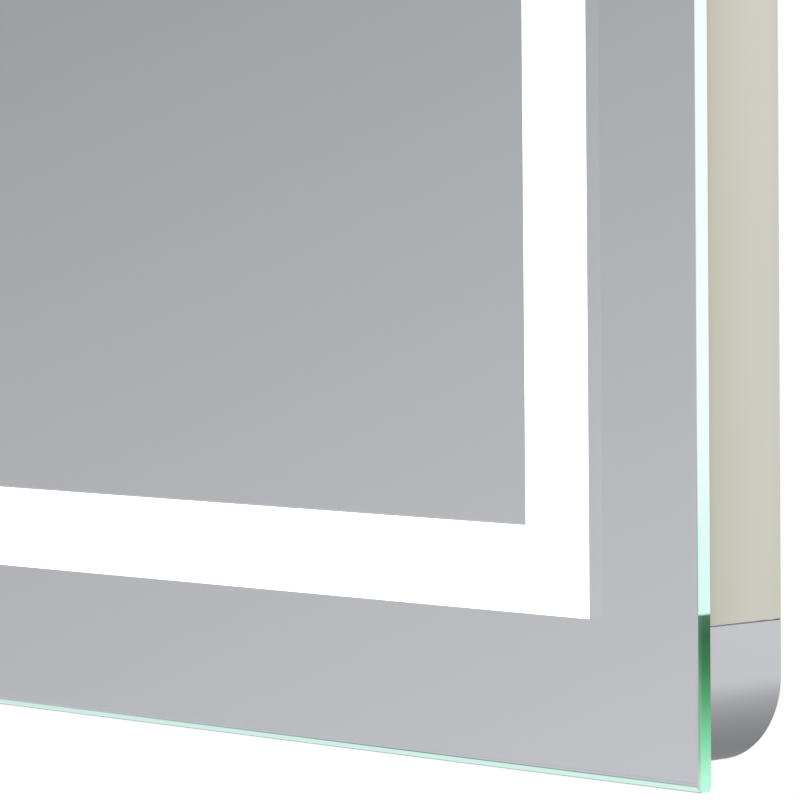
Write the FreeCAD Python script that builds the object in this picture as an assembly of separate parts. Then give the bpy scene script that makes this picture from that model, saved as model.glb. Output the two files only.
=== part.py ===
"""Lighted bathroom mirror that hangs on a wall rail.

X runs across the mirror, Y runs into the wall and Z runs up. The wall's face is the plane Y = 0 and the
mirror looks towards -Y. The origin lies midway between the two screw holes of the wall rail. Millimetres.
"""
import FreeCAD
import Part
import math
import os

Vec = FreeCAD.Vector

# ---------------------------------------------------------------- glass and light band
glass_width = 600.0
glass_height = 800.0
glass_thick = 5.0
glass_arris = 0.8          # small ground chamfer round both faces
screw_line_drop = 90.0     # from the glass's top edge down to the wall screws
band_border = 44.5         # plain mirror outside the light band
band_width = 25.0
backing_thick = 0.3        # silver, paint and safety film on the glass's back
backing_edge = 1.2         # bare glass round the backing

# ---------------------------------------------------------------- housing
housing_depth = 31.2       # from the backing to the rear edge
moulding_inset = 3.5       # from the glass's edge in to the corner mouldings
profile_proud = 0.35       # how far the side profiles stand out past the mouldings
corner_radius = 26.0
corner_leg = 41.5          # from the moulding's outer face to the seam
seam_gap = 0.25
tape_thick = 1.2           # foam tape that bonds metal and plastic to the glass
edge_round = 0.6           # rounding of the outer rear edge
tape_gap = 0.8             # tape's edge from the metal's edge
tape_end_gap = 2.0

profile_wall = 1.8         # outer wall of a side profile
profile_skin = 1.6         # other walls of a side profile
flange_reach = 16.0        # from a profile's outer face to its inner wall
ledge_depth = 17.0         # from the backing to the ledge that carries the back plate
lip_reach = 5.0            # rear lip turned inwards
lip_thick = 1.8

moulding_wall = 2.2
moulding_floor = 2.0
rib_thick = 1.8
spigot_length = 20.0       # leg of a corner moulding inside a profile
spigot_clear = 0.2
spigot_block = 7.0         # solid block in the spigot's middle that takes a screw
spigot_tip = 1.0           # chamfer round a spigot's end
boss_radius = 3.6
boss_gap = 1.0             # screw boss from the moulding's end wall
web_drop = 1.0             # ribs stop short of the ledge
post_radius = 7.0          # carries a wall bumper
post_offset = 15.0         # post centre from both outer faces

# ---------------------------------------------------------------- screws
screw_radius = 1.55
screw_head_radius = 3.2
screw_head_height = 2.2
screw_bite = 2.0           # how far a short screw reaches past the sheet it holds
pilot_clear = 0.05
hole_clear = 0.45
plate_screw_length = 9.0
screws_per_long_side = 1     # between the two spigot screws
screws_per_short_side = 0
head_sides = 8               # small round things get flat sides
shank_sides = 6
hole_sides = 8
post_sides = 12

# ---------------------------------------------------------------- back plate
plate_thick = 1.0
plate_clear = 0.6
notch_inset = 1.0          # plate cut away past a bumper post's centre, out to the corner
bead_height = 1.4
bead_width = 14.0
bead_clear = 16.0          # upright beads from the driver's ears
bead_clip = 4.0            # cut corners at a bead's ends
bead_end_gap = 60.0
vent_length = 32.0
vent_width = 4.0
vent_pitch = 9.0
vent_count = 5
vent_clip = 1.2
vent_drop = 20.0           # from the driver down to the vents

# ---------------------------------------------------------------- light channel, diffuser and LED boards
channel_inner = 28.4
channel_wall = 1.2
channel_flange = 8.0
channel_depth = 15.2
ledge_height = 3.0         # from the backing to the diffuser's ledges
ledge_size = 1.2
mitre_gap = 0.2
diffuser_thick = 2.0
diffuser_clear = 0.2
diffuser_seat = 0.1
board_width = 12.0
board_thick = 1.6
board_end_gap = 12.0
board_seat = 0.1
chip_length = 3.5
chip_width = 2.8
chip_height = 0.8
chip_pitch = 40.0
chip_clear = 2.0           # from the end of a jumper lead to the first chip
jumper_overlap = 5.0       # jumper lead on an LED board
lead_hole_radius = 2.4

# ---------------------------------------------------------------- rails
rail_gauge = 1.5
rail_bend = 0.6            # inner radius of a fold
rail_length = 300.0
rail_foot = 18.0           # wall rail below its screw line
rail_web_height = 14.0     # top of the wall rail's web above the screw line
rail_stand_off = 8.0       # wall to the front of the hook
hook_height = 12.0
hook_overlap = 9.5         # how deep the hanger's lip reaches behind the hook
hook_clear = 0.3
hanger_lip_gap = 3.2       # wall to the hanger's lip
hanger_flange = 24.0
wall_hole_radius = 2.75
wall_hole_spacing = 240.0
wall_slot_spacing = 130.0
wall_slot_length = 14.0
rivet_radius = 2.0
rivet_head_radius = 4.0
rivet_head_height = 1.2
rivet_set_radius = 2.8
rivet_set_depth = 1.2
rivet_spacing = 84.0
rivet_count = 4

# ---------------------------------------------------------------- bumpers
bumper_proud = 2.0
bumper_radius = 6.0
bumper_stem_radius = 2.5
bumper_stem_length = 6.0
bumper_stem_clear = 0.1

# ---------------------------------------------------------------- driver
driver_length = 150.0
driver_width = 40.0
driver_height = 13.5
driver_clip = 3.0
driver_centre_x = -40.0
driver_centre_z = -350.0
ear_length = 12.0
ear_thick = 3.0
ear_width = 24.0
driver_lid_thick = 1.2
driver_wall = 1.8
circuit_thick = 1.2
circuit_gap = 2.2          # circuit board's edge from the case's inner face
circuit_foot = 1.2         # feet under the circuit board
foot_size = 4.0
foot_spacing = 116.0
transformer_size = (22.0, 8.0, 22.0)
spreader_size = (3.0, 7.0, 24.0)
capacitor_radius = 3.8
capacitor_height = 8.0
capacitor_spacing = 14.0
ear_screw_length = 3.6

# ---------------------------------------------------------------- junction box
box_width = 96.0
box_height = 54.0
box_depth = 12.0
box_wall = 1.8
box_round = 4.0
box_clip = 2.0
box_centre_x = 0.0
box_centre_z = -220.0
box_side_inset = 14.0      # screws and lead hole in the box's floor, from its sides
box_top_inset = 7.0
earth_inset = 10.0
lid_thick = 1.6
lid_clear = 0.25
lid_screw_length = 8.0
lid_post_radius = 3.4
terminal_width = 33.0
terminal_height = 16.0
terminal_depth = 8.0
terminal_poles = 3
terminal_inset = 19.5      # from the box's left side
terminal_z = 8.0           # from the box's centre
terminal_seat = 0.1
terminal_skin = 1.0        # plastic under a wire way
way_length = 5.0
way_share = 0.22           # half width of a wire way as a share of the pole pitch
well_share = 0.27
well_offset = 4.0
well_floor = 5.0
terminal_screw_height = 2.0
pole_slot_width = 1.2
pole_slot_depth = 3.0
entry_bore_radius = 3.0
entry_hole_radius = 3.8
entry_flange_radius = 4.2
entry_flange_thick = 1.5
grommet_clear = 0.1
clamp_width = 24.0
clamp_height = 6.0
clamp_thick = 2.0
clamp_rest = 4.2           # clamp bar above the box's floor
clamp_post = 6.0
clamp_screw_head = 2.6
clamp_z = -12.0
pass_z = -4.0              # lead hole through the plate, from the box's centre
pass_bore_radius = 2.2
pass_hole_radius = 3.6
pass_flange_radius = 5.0
pass_flange_thick = 1.0
earth_z = -8.0
lug_thick = 0.8
lug_radius = 3.8
barrel_radius = 1.4
barrel_start = 3.45
barrel_end = 8.0

# ---------------------------------------------------------------- leads
lead_radius = 1.3
jumper_radius = 0.8
jumper_bend = 4.5
lead_play = 0.3
lead_sides = 5
lead_lift = 1.2            # lead's surface from the sheet or board beside it
wire_depth = 3.4           # wire's axis above the terminal block's foot
lead_tuck = 4.0            # lead inside the case or the terminal it ends in
clip_drop = 74.0           # clips below the driver's middle
clip_spacing = 60.0
clip_size = 9.0
clip_base = 1.2
clip_arch = 1.4
clip_arch_width = 6.0

# ---------------------------------------------------------------- places worked out from the sizes
half_width = glass_width / 2
z_top = screw_line_drop
z_bottom = z_top - glass_height
z_middle = (z_top + z_bottom) / 2
y_rear = -bumper_proud                       # housing's rear edge
y_seat = y_rear - housing_depth              # where the housing meets the backing
y_glass_back = y_seat - backing_thick
y_glass_front = y_glass_back - glass_thick
y_ledge = y_seat + ledge_depth               # back plate's front face
y_plate_rear = y_ledge + plate_thick
moulding_face = half_width - moulding_inset  # outer face of a corner moulding
profile_face = moulding_face + profile_proud
profile_inset = moulding_inset - profile_proud
seam = corner_leg + seam_gap                 # from a moulding's outer face to a profile's end
band_centre = band_border + band_width / 2
pilot_radius = screw_radius + pilot_clear
screw_hole_radius = screw_radius + hole_clear
screw_inset = profile_inset + flange_reach / 2 + profile_wall / 2


# ---------------------------------------------------------------- helpers
def block(x0, x1, y0, y1, z0, z1):
    """A box between two corners, in any order."""
    low = Vec(min(x0, x1), min(y0, y1), min(z0, z1))
    return Part.makeBox(abs(x1 - x0), abs(y1 - y0), abs(z1 - z0), low)


def rod(x, y0, y1, z, radius):
    """A cylinder along Y."""
    return Part.makeCylinder(radius, abs(y1 - y0), Vec(x, min(y0, y1), z), Vec(0, 1, 0))


def outline(corners, place):
    """A closed wire through (p, q, radius) corners, each rounded by a tangent arc. place maps p, q to space."""
    points = [Vec(p, q, 0) for p, q, r in corners]
    radii = [r for p, q, r in corners]
    count = len(points)
    starts, ends, middles = [], [], []
    for i, point in enumerate(points):
        back = points[i - 1] - point
        ahead = points[(i + 1) % count] - point
        back.normalize()
        ahead.normalize()
        if radii[i] <= 0:
            starts.append(point)
            ends.append(point)
            middles.append(None)
            continue
        half = back.getAngle(ahead) / 2
        reach = radii[i] / math.tan(half)
        bisector = back + ahead
        bisector.normalize()
        centre = point + bisector * (radii[i] / math.sin(half))
        starts.append(point + back * reach)
        ends.append(point + ahead * reach)
        middles.append(centre - bisector * radii[i])
    edges = []
    for i in range(count):
        if middles[i] is not None:
            arc = [place(v.x, v.y) for v in (starts[i], middles[i], ends[i])]
            edges.append(Part.Arc(*arc).toShape())
        following = starts[(i + 1) % count]
        if (following - ends[i]).Length > 1e-6:
            line = Part.LineSegment(place(ends[i].x, ends[i].y), place(following.x, following.y))
            edges.append(line.toShape())
    return Part.Wire(edges)


def sheet(corners, y0, y1):
    """A plate with the outline's shape in X and Z, between two depths."""
    face = Part.Face(outline(corners, lambda x, z: Vec(x, y0, z)))
    return face.extrude(Vec(0, y1 - y0, 0))


def rounded_plate(x, z, width, height, radius, y0, y1):
    """A rectangular plate with round corners, centred at x, z."""
    w, h = width / 2, height / 2
    corners = [(x - w, z - h, radius), (x + w, z - h, radius), (x + w, z + h, radius), (x - w, z + h, radius)]
    return sheet(corners, y0, y1)


def clipped_plate(x, z, width, height, clip, y0, y1):
    """A rectangular plate with its corners cut off, centred at x, z."""
    w, h = width / 2, height / 2
    ring = [(x - w + clip, z - h), (x + w - clip, z - h), (x + w, z - h + clip), (x + w, z + h - clip),
            (x + w - clip, z + h), (x - w + clip, z + h), (x - w, z + h - clip), (x - w, z - h + clip)]
    return sheet([(px, pz, 0) for px, pz in ring], y0, y1)


def mirrored_x(shape):
    return shape.mirror(Vec(0, 0, 0), Vec(1, 0, 0))


def mirrored_z(shape):
    return shape.mirror(Vec(0, 0, z_middle), Vec(0, 0, 1))


def spread(first, last, count):
    """count places evenly spaced from first to last."""
    return [first + (last - first) * i / (count - 1) for i in range(count)]


def faceted_rod(x, y0, y1, z, radius, sides):
    """A rod along Y with flat sides, for small repeated fasteners. Its corners lie on the radius."""
    low, high = min(y0, y1), max(y0, y1)
    angles = [2 * math.pi * i / sides for i in range(sides)]
    ring = [Vec(x + radius * math.cos(a), low, z + radius * math.sin(a)) for a in angles]
    face = Part.Face(Part.makePolygon(ring + ring[:1]))
    return face.extrude(Vec(0, high - low, 0))


def faceted_hole(x, y0, y1, z, radius, sides=hole_sides):
    """A tool for a small hidden hole with flat sides that touch the radius."""
    return faceted_rod(x, y0, y1, z, radius / math.cos(math.pi / sides), sides)


def pan_screw(x, y_head, z, length, head=screw_head_radius):
    """A pan-head screw driven towards -Y, with its head's seat at y_head."""
    shank = faceted_rod(x, y_head - length, y_head, z, screw_radius, shank_sides)
    return shank.fuse(faceted_rod(x, y_head, y_head + screw_head_height, z, head, head_sides)).removeSplitter()


def blind_rivet(x, y_face, z, grip):
    """A blind rivet through sheet metal: flat head at y_face, stem towards -Y and a set end."""
    head = faceted_rod(x, y_face, y_face + rivet_head_height, z, rivet_head_radius, head_sides)
    stem = faceted_rod(x, y_face - grip, y_face, z, rivet_radius, shank_sides)
    end = faceted_rod(x, y_face - grip - rivet_set_depth, y_face - grip, z, rivet_set_radius, shank_sides)
    return head.fuse([stem, end]).removeSplitter()


def tube(points, radii, radius):
    """A lead along straight runs joined by tangent arcs. radii holds one bend for each inner point."""
    edges = []
    start = points[0]
    for i in range(1, len(points) - 1):
        back = points[i - 1] - points[i]
        ahead = points[i + 1] - points[i]
        back.normalize()
        ahead.normalize()
        half = back.getAngle(ahead) / 2
        reach = radii[i - 1] / math.tan(half)
        bisector = back + ahead
        bisector.normalize()
        middle = points[i] + bisector * (radii[i - 1] / math.sin(half) - radii[i - 1])
        first, last = points[i] + back * reach, points[i] + ahead * reach
        if (first - start).Length > 1e-6:
            edges.append(Part.LineSegment(start, first).toShape())
        edges.append(Part.Arc(first, middle, last).toShape())
        start = last
    edges.append(Part.LineSegment(start, points[-1]).toShape())
    path = Part.Wire(edges)
    direction = points[1] - points[0]
    across = direction.cross(Vec(0.31, 0.83, 0.47))
    across.normalize()
    turn = 360 / lead_sides
    spin = [FreeCAD.Rotation(direction, turn * i).multVec(across * radius) for i in range(lead_sides)]
    section = Part.makePolygon([points[0] + v for v in spin + spin[:1]])
    shape = path.makePipeShell([section], True, True)
    full = 0.5 * lead_sides * radius ** 2 * math.sin(2 * math.pi / lead_sides) * path.Length
    print("lead: length %.0f, bends %s, volume ratio %.3f" % (path.Length, radii, shape.Volume / full))
    return shape


# ---------------------------------------------------------------- glass and backing
def mirror_glass():
    pane = block(-half_width, half_width, y_glass_front, y_glass_back, z_bottom, z_top)
    return pane.makeChamfer(glass_arris, pane.Edges)


def band_ring(border, width, y0, y1):
    """A rectangular ring that follows the glass's edge at a distance of border."""
    outer = block(-half_width + border, half_width - border, y0, y1, z_bottom + border, z_top - border)
    inner = border + width
    hole = block(-half_width + inner, half_width - inner, y0, y1, z_bottom + inner, z_top - inner)
    return outer.cut(hole)


def silver_backing():
    """The reflecting coat with its safety film: a border and a centre, with the light band left clear."""
    edge = backing_edge
    full = block(-half_width + edge, half_width - edge, y_glass_back, y_seat, z_bottom + edge, z_top - edge)
    return full.cut(band_ring(band_border, band_width, y_glass_back, y_seat))


# ---------------------------------------------------------------- side profiles
def profile_section(place):
    """The side profile's cut face: outer wall, hollow chamber behind the glass and turned rear lip."""
    wall, depth = profile_wall, housing_depth
    corners = [
        (0, 0, 0),
        (wall, 0, 0),
        (wall, tape_thick, 0),
        (flange_reach, tape_thick, edge_round),
        (flange_reach, ledge_depth, 0),
        (wall, ledge_depth, 0),
        (wall, depth - lip_thick, 0),
        (lip_reach, depth - lip_thick, 0),
        (lip_reach, depth, 0),
        (0, depth, edge_round),
    ]
    near, far = tape_thick + profile_skin, ledge_depth - profile_skin
    inner = flange_reach - profile_skin
    chamber = [(wall, near, 0), (inner, near, 0), (inner, far, 0), (wall, far, 0)]
    solid_face = Part.Face(outline(corners, place))
    return solid_face.cut(Part.Face(outline(chamber, place)))


def long_side_screws():
    """Heights of the screws along a tall side, from the lower spigot to the upper one."""
    first = z_bottom + moulding_inset + seam + spigot_length / 2
    return spread(first, 2 * z_middle - first, screws_per_long_side + 2)


def short_side_screws():
    """Places of the screws along the top or bottom side, from one spigot to the other."""
    first = -moulding_face + seam + spigot_length / 2
    return spread(first, -first, screws_per_short_side + 2)


def profile_right():
    z0 = z_bottom + moulding_inset + seam
    face = profile_section(lambda u, v: Vec(profile_face - u, y_seat + v, z0))
    profile = face.extrude(Vec(0, 0, 2 * (z_middle - z0)))
    x = half_width - screw_inset
    for z in long_side_screws():
        profile = profile.cut(faceted_hole(x, y_ledge - profile_skin, y_ledge, z, pilot_radius))
    return profile


def profile_bottom():
    x0 = -moulding_face + seam
    z_face = z_bottom + profile_inset
    face = profile_section(lambda u, v: Vec(x0, y_seat + v, z_face + u))
    profile = face.extrude(Vec(-2 * x0, 0, 0))
    z = z_bottom + screw_inset
    for x in short_side_screws():
        profile = profile.cut(faceted_hole(x, y_ledge - profile_skin, y_ledge, z, pilot_radius))
    return profile


# ---------------------------------------------------------------- corner mouldings
def corner_band(outer, inner, leg, v0, v1, inner_round=0.0):
    """An L with a round outer corner that follows the housing's lower right corner between two offsets."""
    corners = [
        (leg, outer, 0),
        (outer, outer, corner_radius - outer),
        (outer, leg, 0),
        (inner, leg, 0),
        (inner, inner, inner_round),
        (leg, inner, 0),
    ]
    place = corner_place(v0)
    return Part.Face(outline(corners, place)).extrude(Vec(0, v1 - v0, 0))


def corner_place(v):
    """Maps distances from the two outer faces of the lower right moulding to space, at depth v."""
    return lambda a, b: Vec(moulding_face - a, y_seat + v, z_bottom + moulding_inset + b)


def corner_block(a0, a1, b0, b1, v0, v1):
    low, high = corner_place(v0)(a0, b0), corner_place(v1)(a1, b1)
    return block(low.x, high.x, low.y, high.y, low.z, high.z)


def swapped(shape):
    """Turns a shape on one leg of the lower right corner onto the other leg."""
    corner = corner_place(0)(0, 0)
    return shape.mirror(corner, Vec(1, 0, 1))


def spigot():
    """The leg that plugs into the chamber of the right profile: walls and rib with one solid screw block."""
    a0 = profile_wall - profile_proud + spigot_clear
    a1 = flange_reach - profile_skin - profile_proud - spigot_clear
    v0 = tape_thick + profile_skin + spigot_clear
    v1 = ledge_depth - profile_skin - spigot_clear
    end = seam + spigot_length
    leg = corner_block(a0, a1, corner_leg - moulding_wall, end, v0, v1)
    end_z = z_bottom + moulding_inset + end
    tip = [e for e in leg.Edges if all(abs(p.Point.z - end_z) < 1e-6 for p in e.Vertexes)]
    leg = leg.makeChamfer(spigot_tip, tip)
    middle = seam + spigot_length / 2
    cores = [
        (corner_leg + rib_thick, middle - spigot_block / 2),
        (middle + spigot_block / 2, end - rib_thick),
    ]
    for b0, b1 in cores:
        leg = leg.cut(corner_block(a0 + rib_thick, a1 - rib_thick, b0, b1, v0 + rib_thick, v1))
    a_screw = screw_inset - moulding_inset
    centre = corner_place(0)(a_screw, middle)
    return leg.cut(faceted_hole(centre.x, y_seat + v0 + rib_thick, y_seat + v1, centre.z, pilot_radius))


def corner_moulding():
    """The lower right corner piece, moulded in one: curved wall, cored floor, ribs, bosses, post and spigots."""
    inner = flange_reach - profile_proud
    wall = corner_band(0, moulding_wall, corner_leg, 0, housing_depth, corner_radius - moulding_wall)
    lip = corner_band(0, lip_reach, corner_leg, housing_depth - lip_thick, housing_depth, corner_radius - lip_reach)
    tray = corner_band(0, inner, corner_leg, tape_thick, ledge_depth)
    core_floor = tape_thick + moulding_floor
    core = corner_band(moulding_wall, inner - rib_thick, corner_leg - moulding_wall, core_floor, ledge_depth)
    bosses, pilots = [], []
    for a, b in corner_screws():
        at = corner_place(0)(a, b)
        bosses.append(faceted_rod(at.x, y_seat + core_floor, y_ledge, at.z, boss_radius, hole_sides))
        pilots.append(faceted_hole(at.x, y_ledge - plate_screw_length, y_ledge, at.z, pilot_radius))
    post_at = corner_place(0)(post_offset, post_offset)
    post = faceted_rod(post_at.x, y_seat + tape_thick, y_rear, post_at.z, post_radius, post_sides)
    stem_hole = faceted_hole(post_at.x, y_rear - bumper_stem_length - 1, y_rear, post_at.z,
                             bumper_stem_radius + bumper_stem_clear)
    ribs = []
    reach = corner_leg - moulding_wall
    for b in spread(corner_radius, reach, 3)[:2]:
        rib = corner_block(moulding_wall, inner - rib_thick, b - rib_thick / 2, b + rib_thick / 2,
                           core_floor, ledge_depth - web_drop)
        ribs += [rib, swapped(rib)]
    web = Part.makeBox(rib_thick, ledge_depth - core_floor - web_drop, post_offset * math.sqrt(2),
                       Vec(-rib_thick / 2, 0, 0))
    web.rotate(Vec(0, 0, 0), Vec(0, 1, 0), -45)
    web.translate(corner_place(core_floor)(0, 0))
    skin = corner_band(moulding_wall / 2, post_offset * 2, corner_leg, core_floor, housing_depth - lip_thick)
    web = web.common(skin)
    body = wall.fuse([lip, tray]).removeSplitter()
    body = body.cut(core)
    leg = spigot()
    body = body.fuse(bosses + ribs + [post, web, leg, swapped(leg)]).removeSplitter()
    body = body.cut(Part.makeCompound(pilots + [stem_hole]))
    return body.removeSplitter()


def corner_screws():
    """Back plate screws in a corner moulding, as distances from its two outer faces."""
    across = screw_inset - moulding_inset
    along = corner_leg - moulding_wall - boss_radius - boss_gap
    return [(across, along)]


# ---------------------------------------------------------------- tapes
def frame_tape():
    """Foam tape between the glass and the front flanges of the profiles, and pads under the mouldings."""
    gap, y1 = tape_gap, y_seat + tape_thick
    x0, x1 = profile_face - flange_reach + gap, profile_face - profile_wall - gap
    z0 = z_bottom + moulding_inset + seam + tape_end_gap
    right = block(x0, x1, y_seat, y1, z0, 2 * z_middle - z0)
    low = z_bottom + profile_inset
    bottom_x = moulding_face - seam - tape_end_gap
    bottom = block(-bottom_x, bottom_x, y_seat, y1, low + profile_wall + gap, low + flange_reach - gap)
    outer, inner = moulding_wall + gap, flange_reach - profile_proud - gap
    end, clip = corner_leg - tape_end_gap, 0.7 * corner_radius
    ring = [(end, outer), (outer + clip, outer), (outer, outer + clip), (outer, end), (inner, end), (inner, inner),
            (end, inner)]
    face = Part.Face(outline([(a, b, 0) for a, b in ring], corner_place(0)))
    pad = face.extrude(Vec(0, tape_thick, 0))
    strips = [right, mirrored_x(right), bottom, mirrored_z(bottom)]
    pads = [pad, mirrored_x(pad), mirrored_z(pad), mirrored_x(mirrored_z(pad))]
    return strips + pads


def channel_tape():
    """Foam tape under both flanges of the light channel, as two closed rings."""
    outer_edge = band_centre - channel_inner / 2 - channel_wall - channel_flange
    inner_edge = band_centre + channel_inner / 2 + channel_wall
    width = channel_flange
    return [band_ring(edge, width, y_seat, y_seat + tape_thick) for edge in (outer_edge, inner_edge)]


# ---------------------------------------------------------------- light channel
def channel_section(place):
    """A U of sheet-thin walls with outward flanges and two ledges for the diffuser."""
    inner, wall = channel_inner / 2, channel_wall
    outer, reach = inner + wall, inner + wall + channel_flange
    top, under = tape_thick, tape_thick + wall
    ledge, below = ledge_height, ledge_height + ledge_size
    side = [
        (inner, top), (reach, top), (reach, under), (outer, under), (outer, channel_depth),
    ]
    inside = [(inner, channel_depth - wall), (inner, below), (inner - ledge_size, below),
              (inner - ledge_size, ledge), (inner, ledge)]
    loop = [(p, v, 0) for p, v in side]
    loop += [(-p, v, 0) for p, v in reversed(side)]
    loop += [(-p, v, 0) for p, v in reversed(inside)]
    loop += [(p, v, 0) for p, v in inside]
    return Part.Face(outline(loop, place))


def side_trapezoid(side, near, far, y0, y1, gap):
    """The mitred region of one side of a ring, between two distances from the glass's edge."""
    if side == "right":
        corners = [
            (half_width - near, z_bottom + near + gap), (half_width - far, z_bottom + far + gap),
            (half_width - far, z_top - far - gap), (half_width - near, z_top - near - gap),
        ]
    else:
        corners = [
            (-half_width + near + gap, z_bottom + near), (half_width - near - gap, z_bottom + near),
            (half_width - far - gap, z_bottom + far), (-half_width + far + gap, z_bottom + far),
        ]
    return sheet([(x, z, 0) for x, z in corners], y0, y1)


def light_channel(side):
    """One mitred length of the light channel."""
    reach = channel_inner / 2 + channel_wall + channel_flange
    if side == "right":
        x = half_width - band_centre
        face = channel_section(lambda p, v: Vec(x + p, y_seat + v, z_bottom))
        bar = face.extrude(Vec(0, 0, glass_height))
    else:
        z = z_bottom + band_centre
        face = channel_section(lambda p, v: Vec(-half_width, y_seat + v, z + p))
        bar = face.extrude(Vec(glass_width, 0, 0))
    region = side_trapezoid(side, band_centre - reach, band_centre + reach, y_seat, y_ledge, mitre_gap / 2)
    return bar.common(region)


def light_channel_right():
    """The right length also has the hole where the LED lead comes in."""
    wall_x = half_width - band_centre - channel_inner / 2 - channel_wall
    start = Vec(wall_x - channel_wall, led_lead_y(), led_lead_z())
    hole = Part.makeCylinder(lead_hole_radius, channel_wall * 3, start, Vec(1, 0, 0))
    return light_channel("right").cut(hole)


def diffuser(side):
    half = channel_inner / 2 - diffuser_clear
    y1 = y_seat + ledge_height - diffuser_seat
    return side_trapezoid(side, band_centre - half, band_centre + half, y1 - diffuser_thick, y1, mitre_gap / 2)


def board_span(side):
    """Lowest and highest place of an LED board along its side."""
    inset = band_centre + board_width / 2 + board_end_gap
    if side == "right":
        return z_bottom + inset, z_top - inset
    return -half_width + inset, half_width - inset


def board_depths():
    """Front and rear faces of an LED board."""
    rear = y_seat + channel_depth - channel_wall - board_seat
    return rear - board_thick, rear


def led_board(side):
    front, rear = board_depths()
    low, high = board_span(side)
    half = board_width / 2
    if side == "right":
        x = half_width - band_centre
        return block(x - half, x + half, front, rear, low, high)
    z = z_bottom + band_centre
    return block(low, high, front, rear, z - half, z + half)


def led_chips():
    """One light-emitting chip every chip_pitch along all four boards."""
    front = board_depths()[0]
    chips = []
    for side in ("right", "bottom"):
        low, high = board_span(side)
        free = high - low - 2 * (jumper_overlap + chip_clear) - chip_length
        count = int(free // chip_pitch) + 1
        run = (count - 1) * chip_pitch
        middle = (low + high) / 2
        for i in range(count):
            at = middle - run / 2 + i * chip_pitch
            if side == "right":
                x = half_width - band_centre
                chip = block(x - chip_width / 2, x + chip_width / 2, front - chip_height, front,
                             at - chip_length / 2, at + chip_length / 2)
                chips += [chip, mirrored_x(chip)]
            else:
                z = z_bottom + band_centre
                chip = block(at - chip_length / 2, at + chip_length / 2, front - chip_height, front,
                             z - chip_width / 2, z + chip_width / 2)
                chips += [chip, mirrored_z(chip)]
    return chips


# ---------------------------------------------------------------- back plate
def plate_screw_places():
    """X and Z of every screw that holds the back plate."""
    places = []
    for z in long_side_screws():
        x = half_width - screw_inset
        places += [(x, z), (-x, z)]
    for x in short_side_screws():
        z = z_bottom + screw_inset
        places += [(x, z), (x, 2 * z_middle - z)]
    for a, b in corner_screws():
        at = corner_place(0)(a, b)
        places += [(at.x, at.z), (-at.x, at.z), (at.x, 2 * z_middle - at.z), (-at.x, 2 * z_middle - at.z)]
    return places


def post_places():
    at = corner_place(0)(post_offset, post_offset)
    high = 2 * z_middle - at.z
    return [(at.x, at.z), (-at.x, at.z), (at.x, high), (-at.x, high)]


def rivet_places():
    z = hanger_web_z() + rail_gauge + hanger_flange / 2
    reach = rivet_spacing * (rivet_count - 1) / 2
    return [(x, z) for x in spread(-reach, reach, rivet_count)]


def bead(x, z, width, height):
    """A pressed stiffening bead: what it adds behind the plate and what it hollows out in front."""
    y_crest = y_plate_rear + bead_height
    hull = clipped_plate(x, z, width, height, bead_clip, y_plate_rear - plate_thick / 2, y_crest)
    crest = [e for e in hull.Edges if all(abs(v.Point.y - y_crest) < 1e-6 for v in e.Vertexes)]
    hull = hull.makeChamfer(0.9 * bead_height, crest)
    edge = 3.2 * plate_thick
    hollow = clipped_plate(x, z, width - edge, height - edge, bead_clip - plate_thick,
                           y_ledge, y_crest - plate_thick)
    return hull, hollow


def back_plate():
    """Sheet steel, notched round the bumper posts, with pressed beads, vents and holes for all that it carries."""
    gap = moulding_inset + moulding_wall + plate_clear
    plate = rounded_plate(0, z_middle, glass_width - 2 * gap, glass_height - 2 * gap,
                          corner_radius - moulding_wall - plate_clear, y_ledge, y_plate_rear)
    bead_x = driver_length / 2 + ear_length - driver_centre_x + bead_clear + bead_width / 2
    low = z_bottom + moulding_inset + flange_reach + bead_end_gap
    high = -rail_foot - bead_end_gap / 2
    pressed = [
        bead(-bead_x, (low + high) / 2, bead_width, high - low),
        bead(bead_x, (low + high) / 2, bead_width, high - low),
        bead(0, low + bead_width, 2 * (bead_x - bead_end_gap), bead_width),
    ]
    plate = plate.fuse([hull for hull, hollow in pressed])
    cuts = [hollow for hull, hollow in pressed]
    wide_holes = plate_screw_places() + driver_screw_places()
    tight_holes = box_screw_places() + [earth_place()]
    holes = [(place, screw_hole_radius) for place in wide_holes]
    holes += [(place, pilot_radius) for place in tight_holes]
    holes += [(place, rivet_radius + pilot_clear) for place in rivet_places()]
    holes += [(pass_place(), pass_hole_radius)]
    cuts += [faceted_hole(x, y_ledge - 1, y_plate_rear + 1, z, radius) for (x, z), radius in holes]
    for x, z in post_places():
        cuts.append(faceted_hole(x, y_ledge - 1, y_plate_rear + 1, z, post_radius + plate_clear, post_sides))
        cuts.append(block(x + math.copysign(notch_inset, x), math.copysign(half_width, x), y_ledge - 1,
                          y_plate_rear + 1, z + math.copysign(notch_inset, z - z_middle),
                          z_top if z > z_middle else z_bottom))
    vent_z = driver_centre_z - driver_width / 2 - vent_drop - vent_length / 2
    reach = vent_pitch * (vent_count - 1) / 2
    for x in spread(driver_centre_x - reach, driver_centre_x + reach, vent_count):
        cuts.append(clipped_plate(x, vent_z, vent_width, vent_length, vent_clip, y_ledge - 1, y_plate_rear + 1))
    return plate.cut(Part.makeCompound(cuts)).removeSplitter()


def back_plate_screws():
    return [pan_screw(x, y_plate_rear, z, plate_screw_length) for x, z in plate_screw_places()]


# ---------------------------------------------------------------- wall rail and hanger rail
def hanger_web_z():
    """Underside of the hanger's web, which rests on the wall rail's hook."""
    return rail_web_height + hook_height + hook_clear


def rail_bar(corners, length):
    """A folded steel rail: its section in Y and Z, pulled along X."""
    face = Part.Face(outline(corners, lambda y, z: Vec(-length / 2, y, z)))
    return face.extrude(Vec(length, 0, 0))


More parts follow.
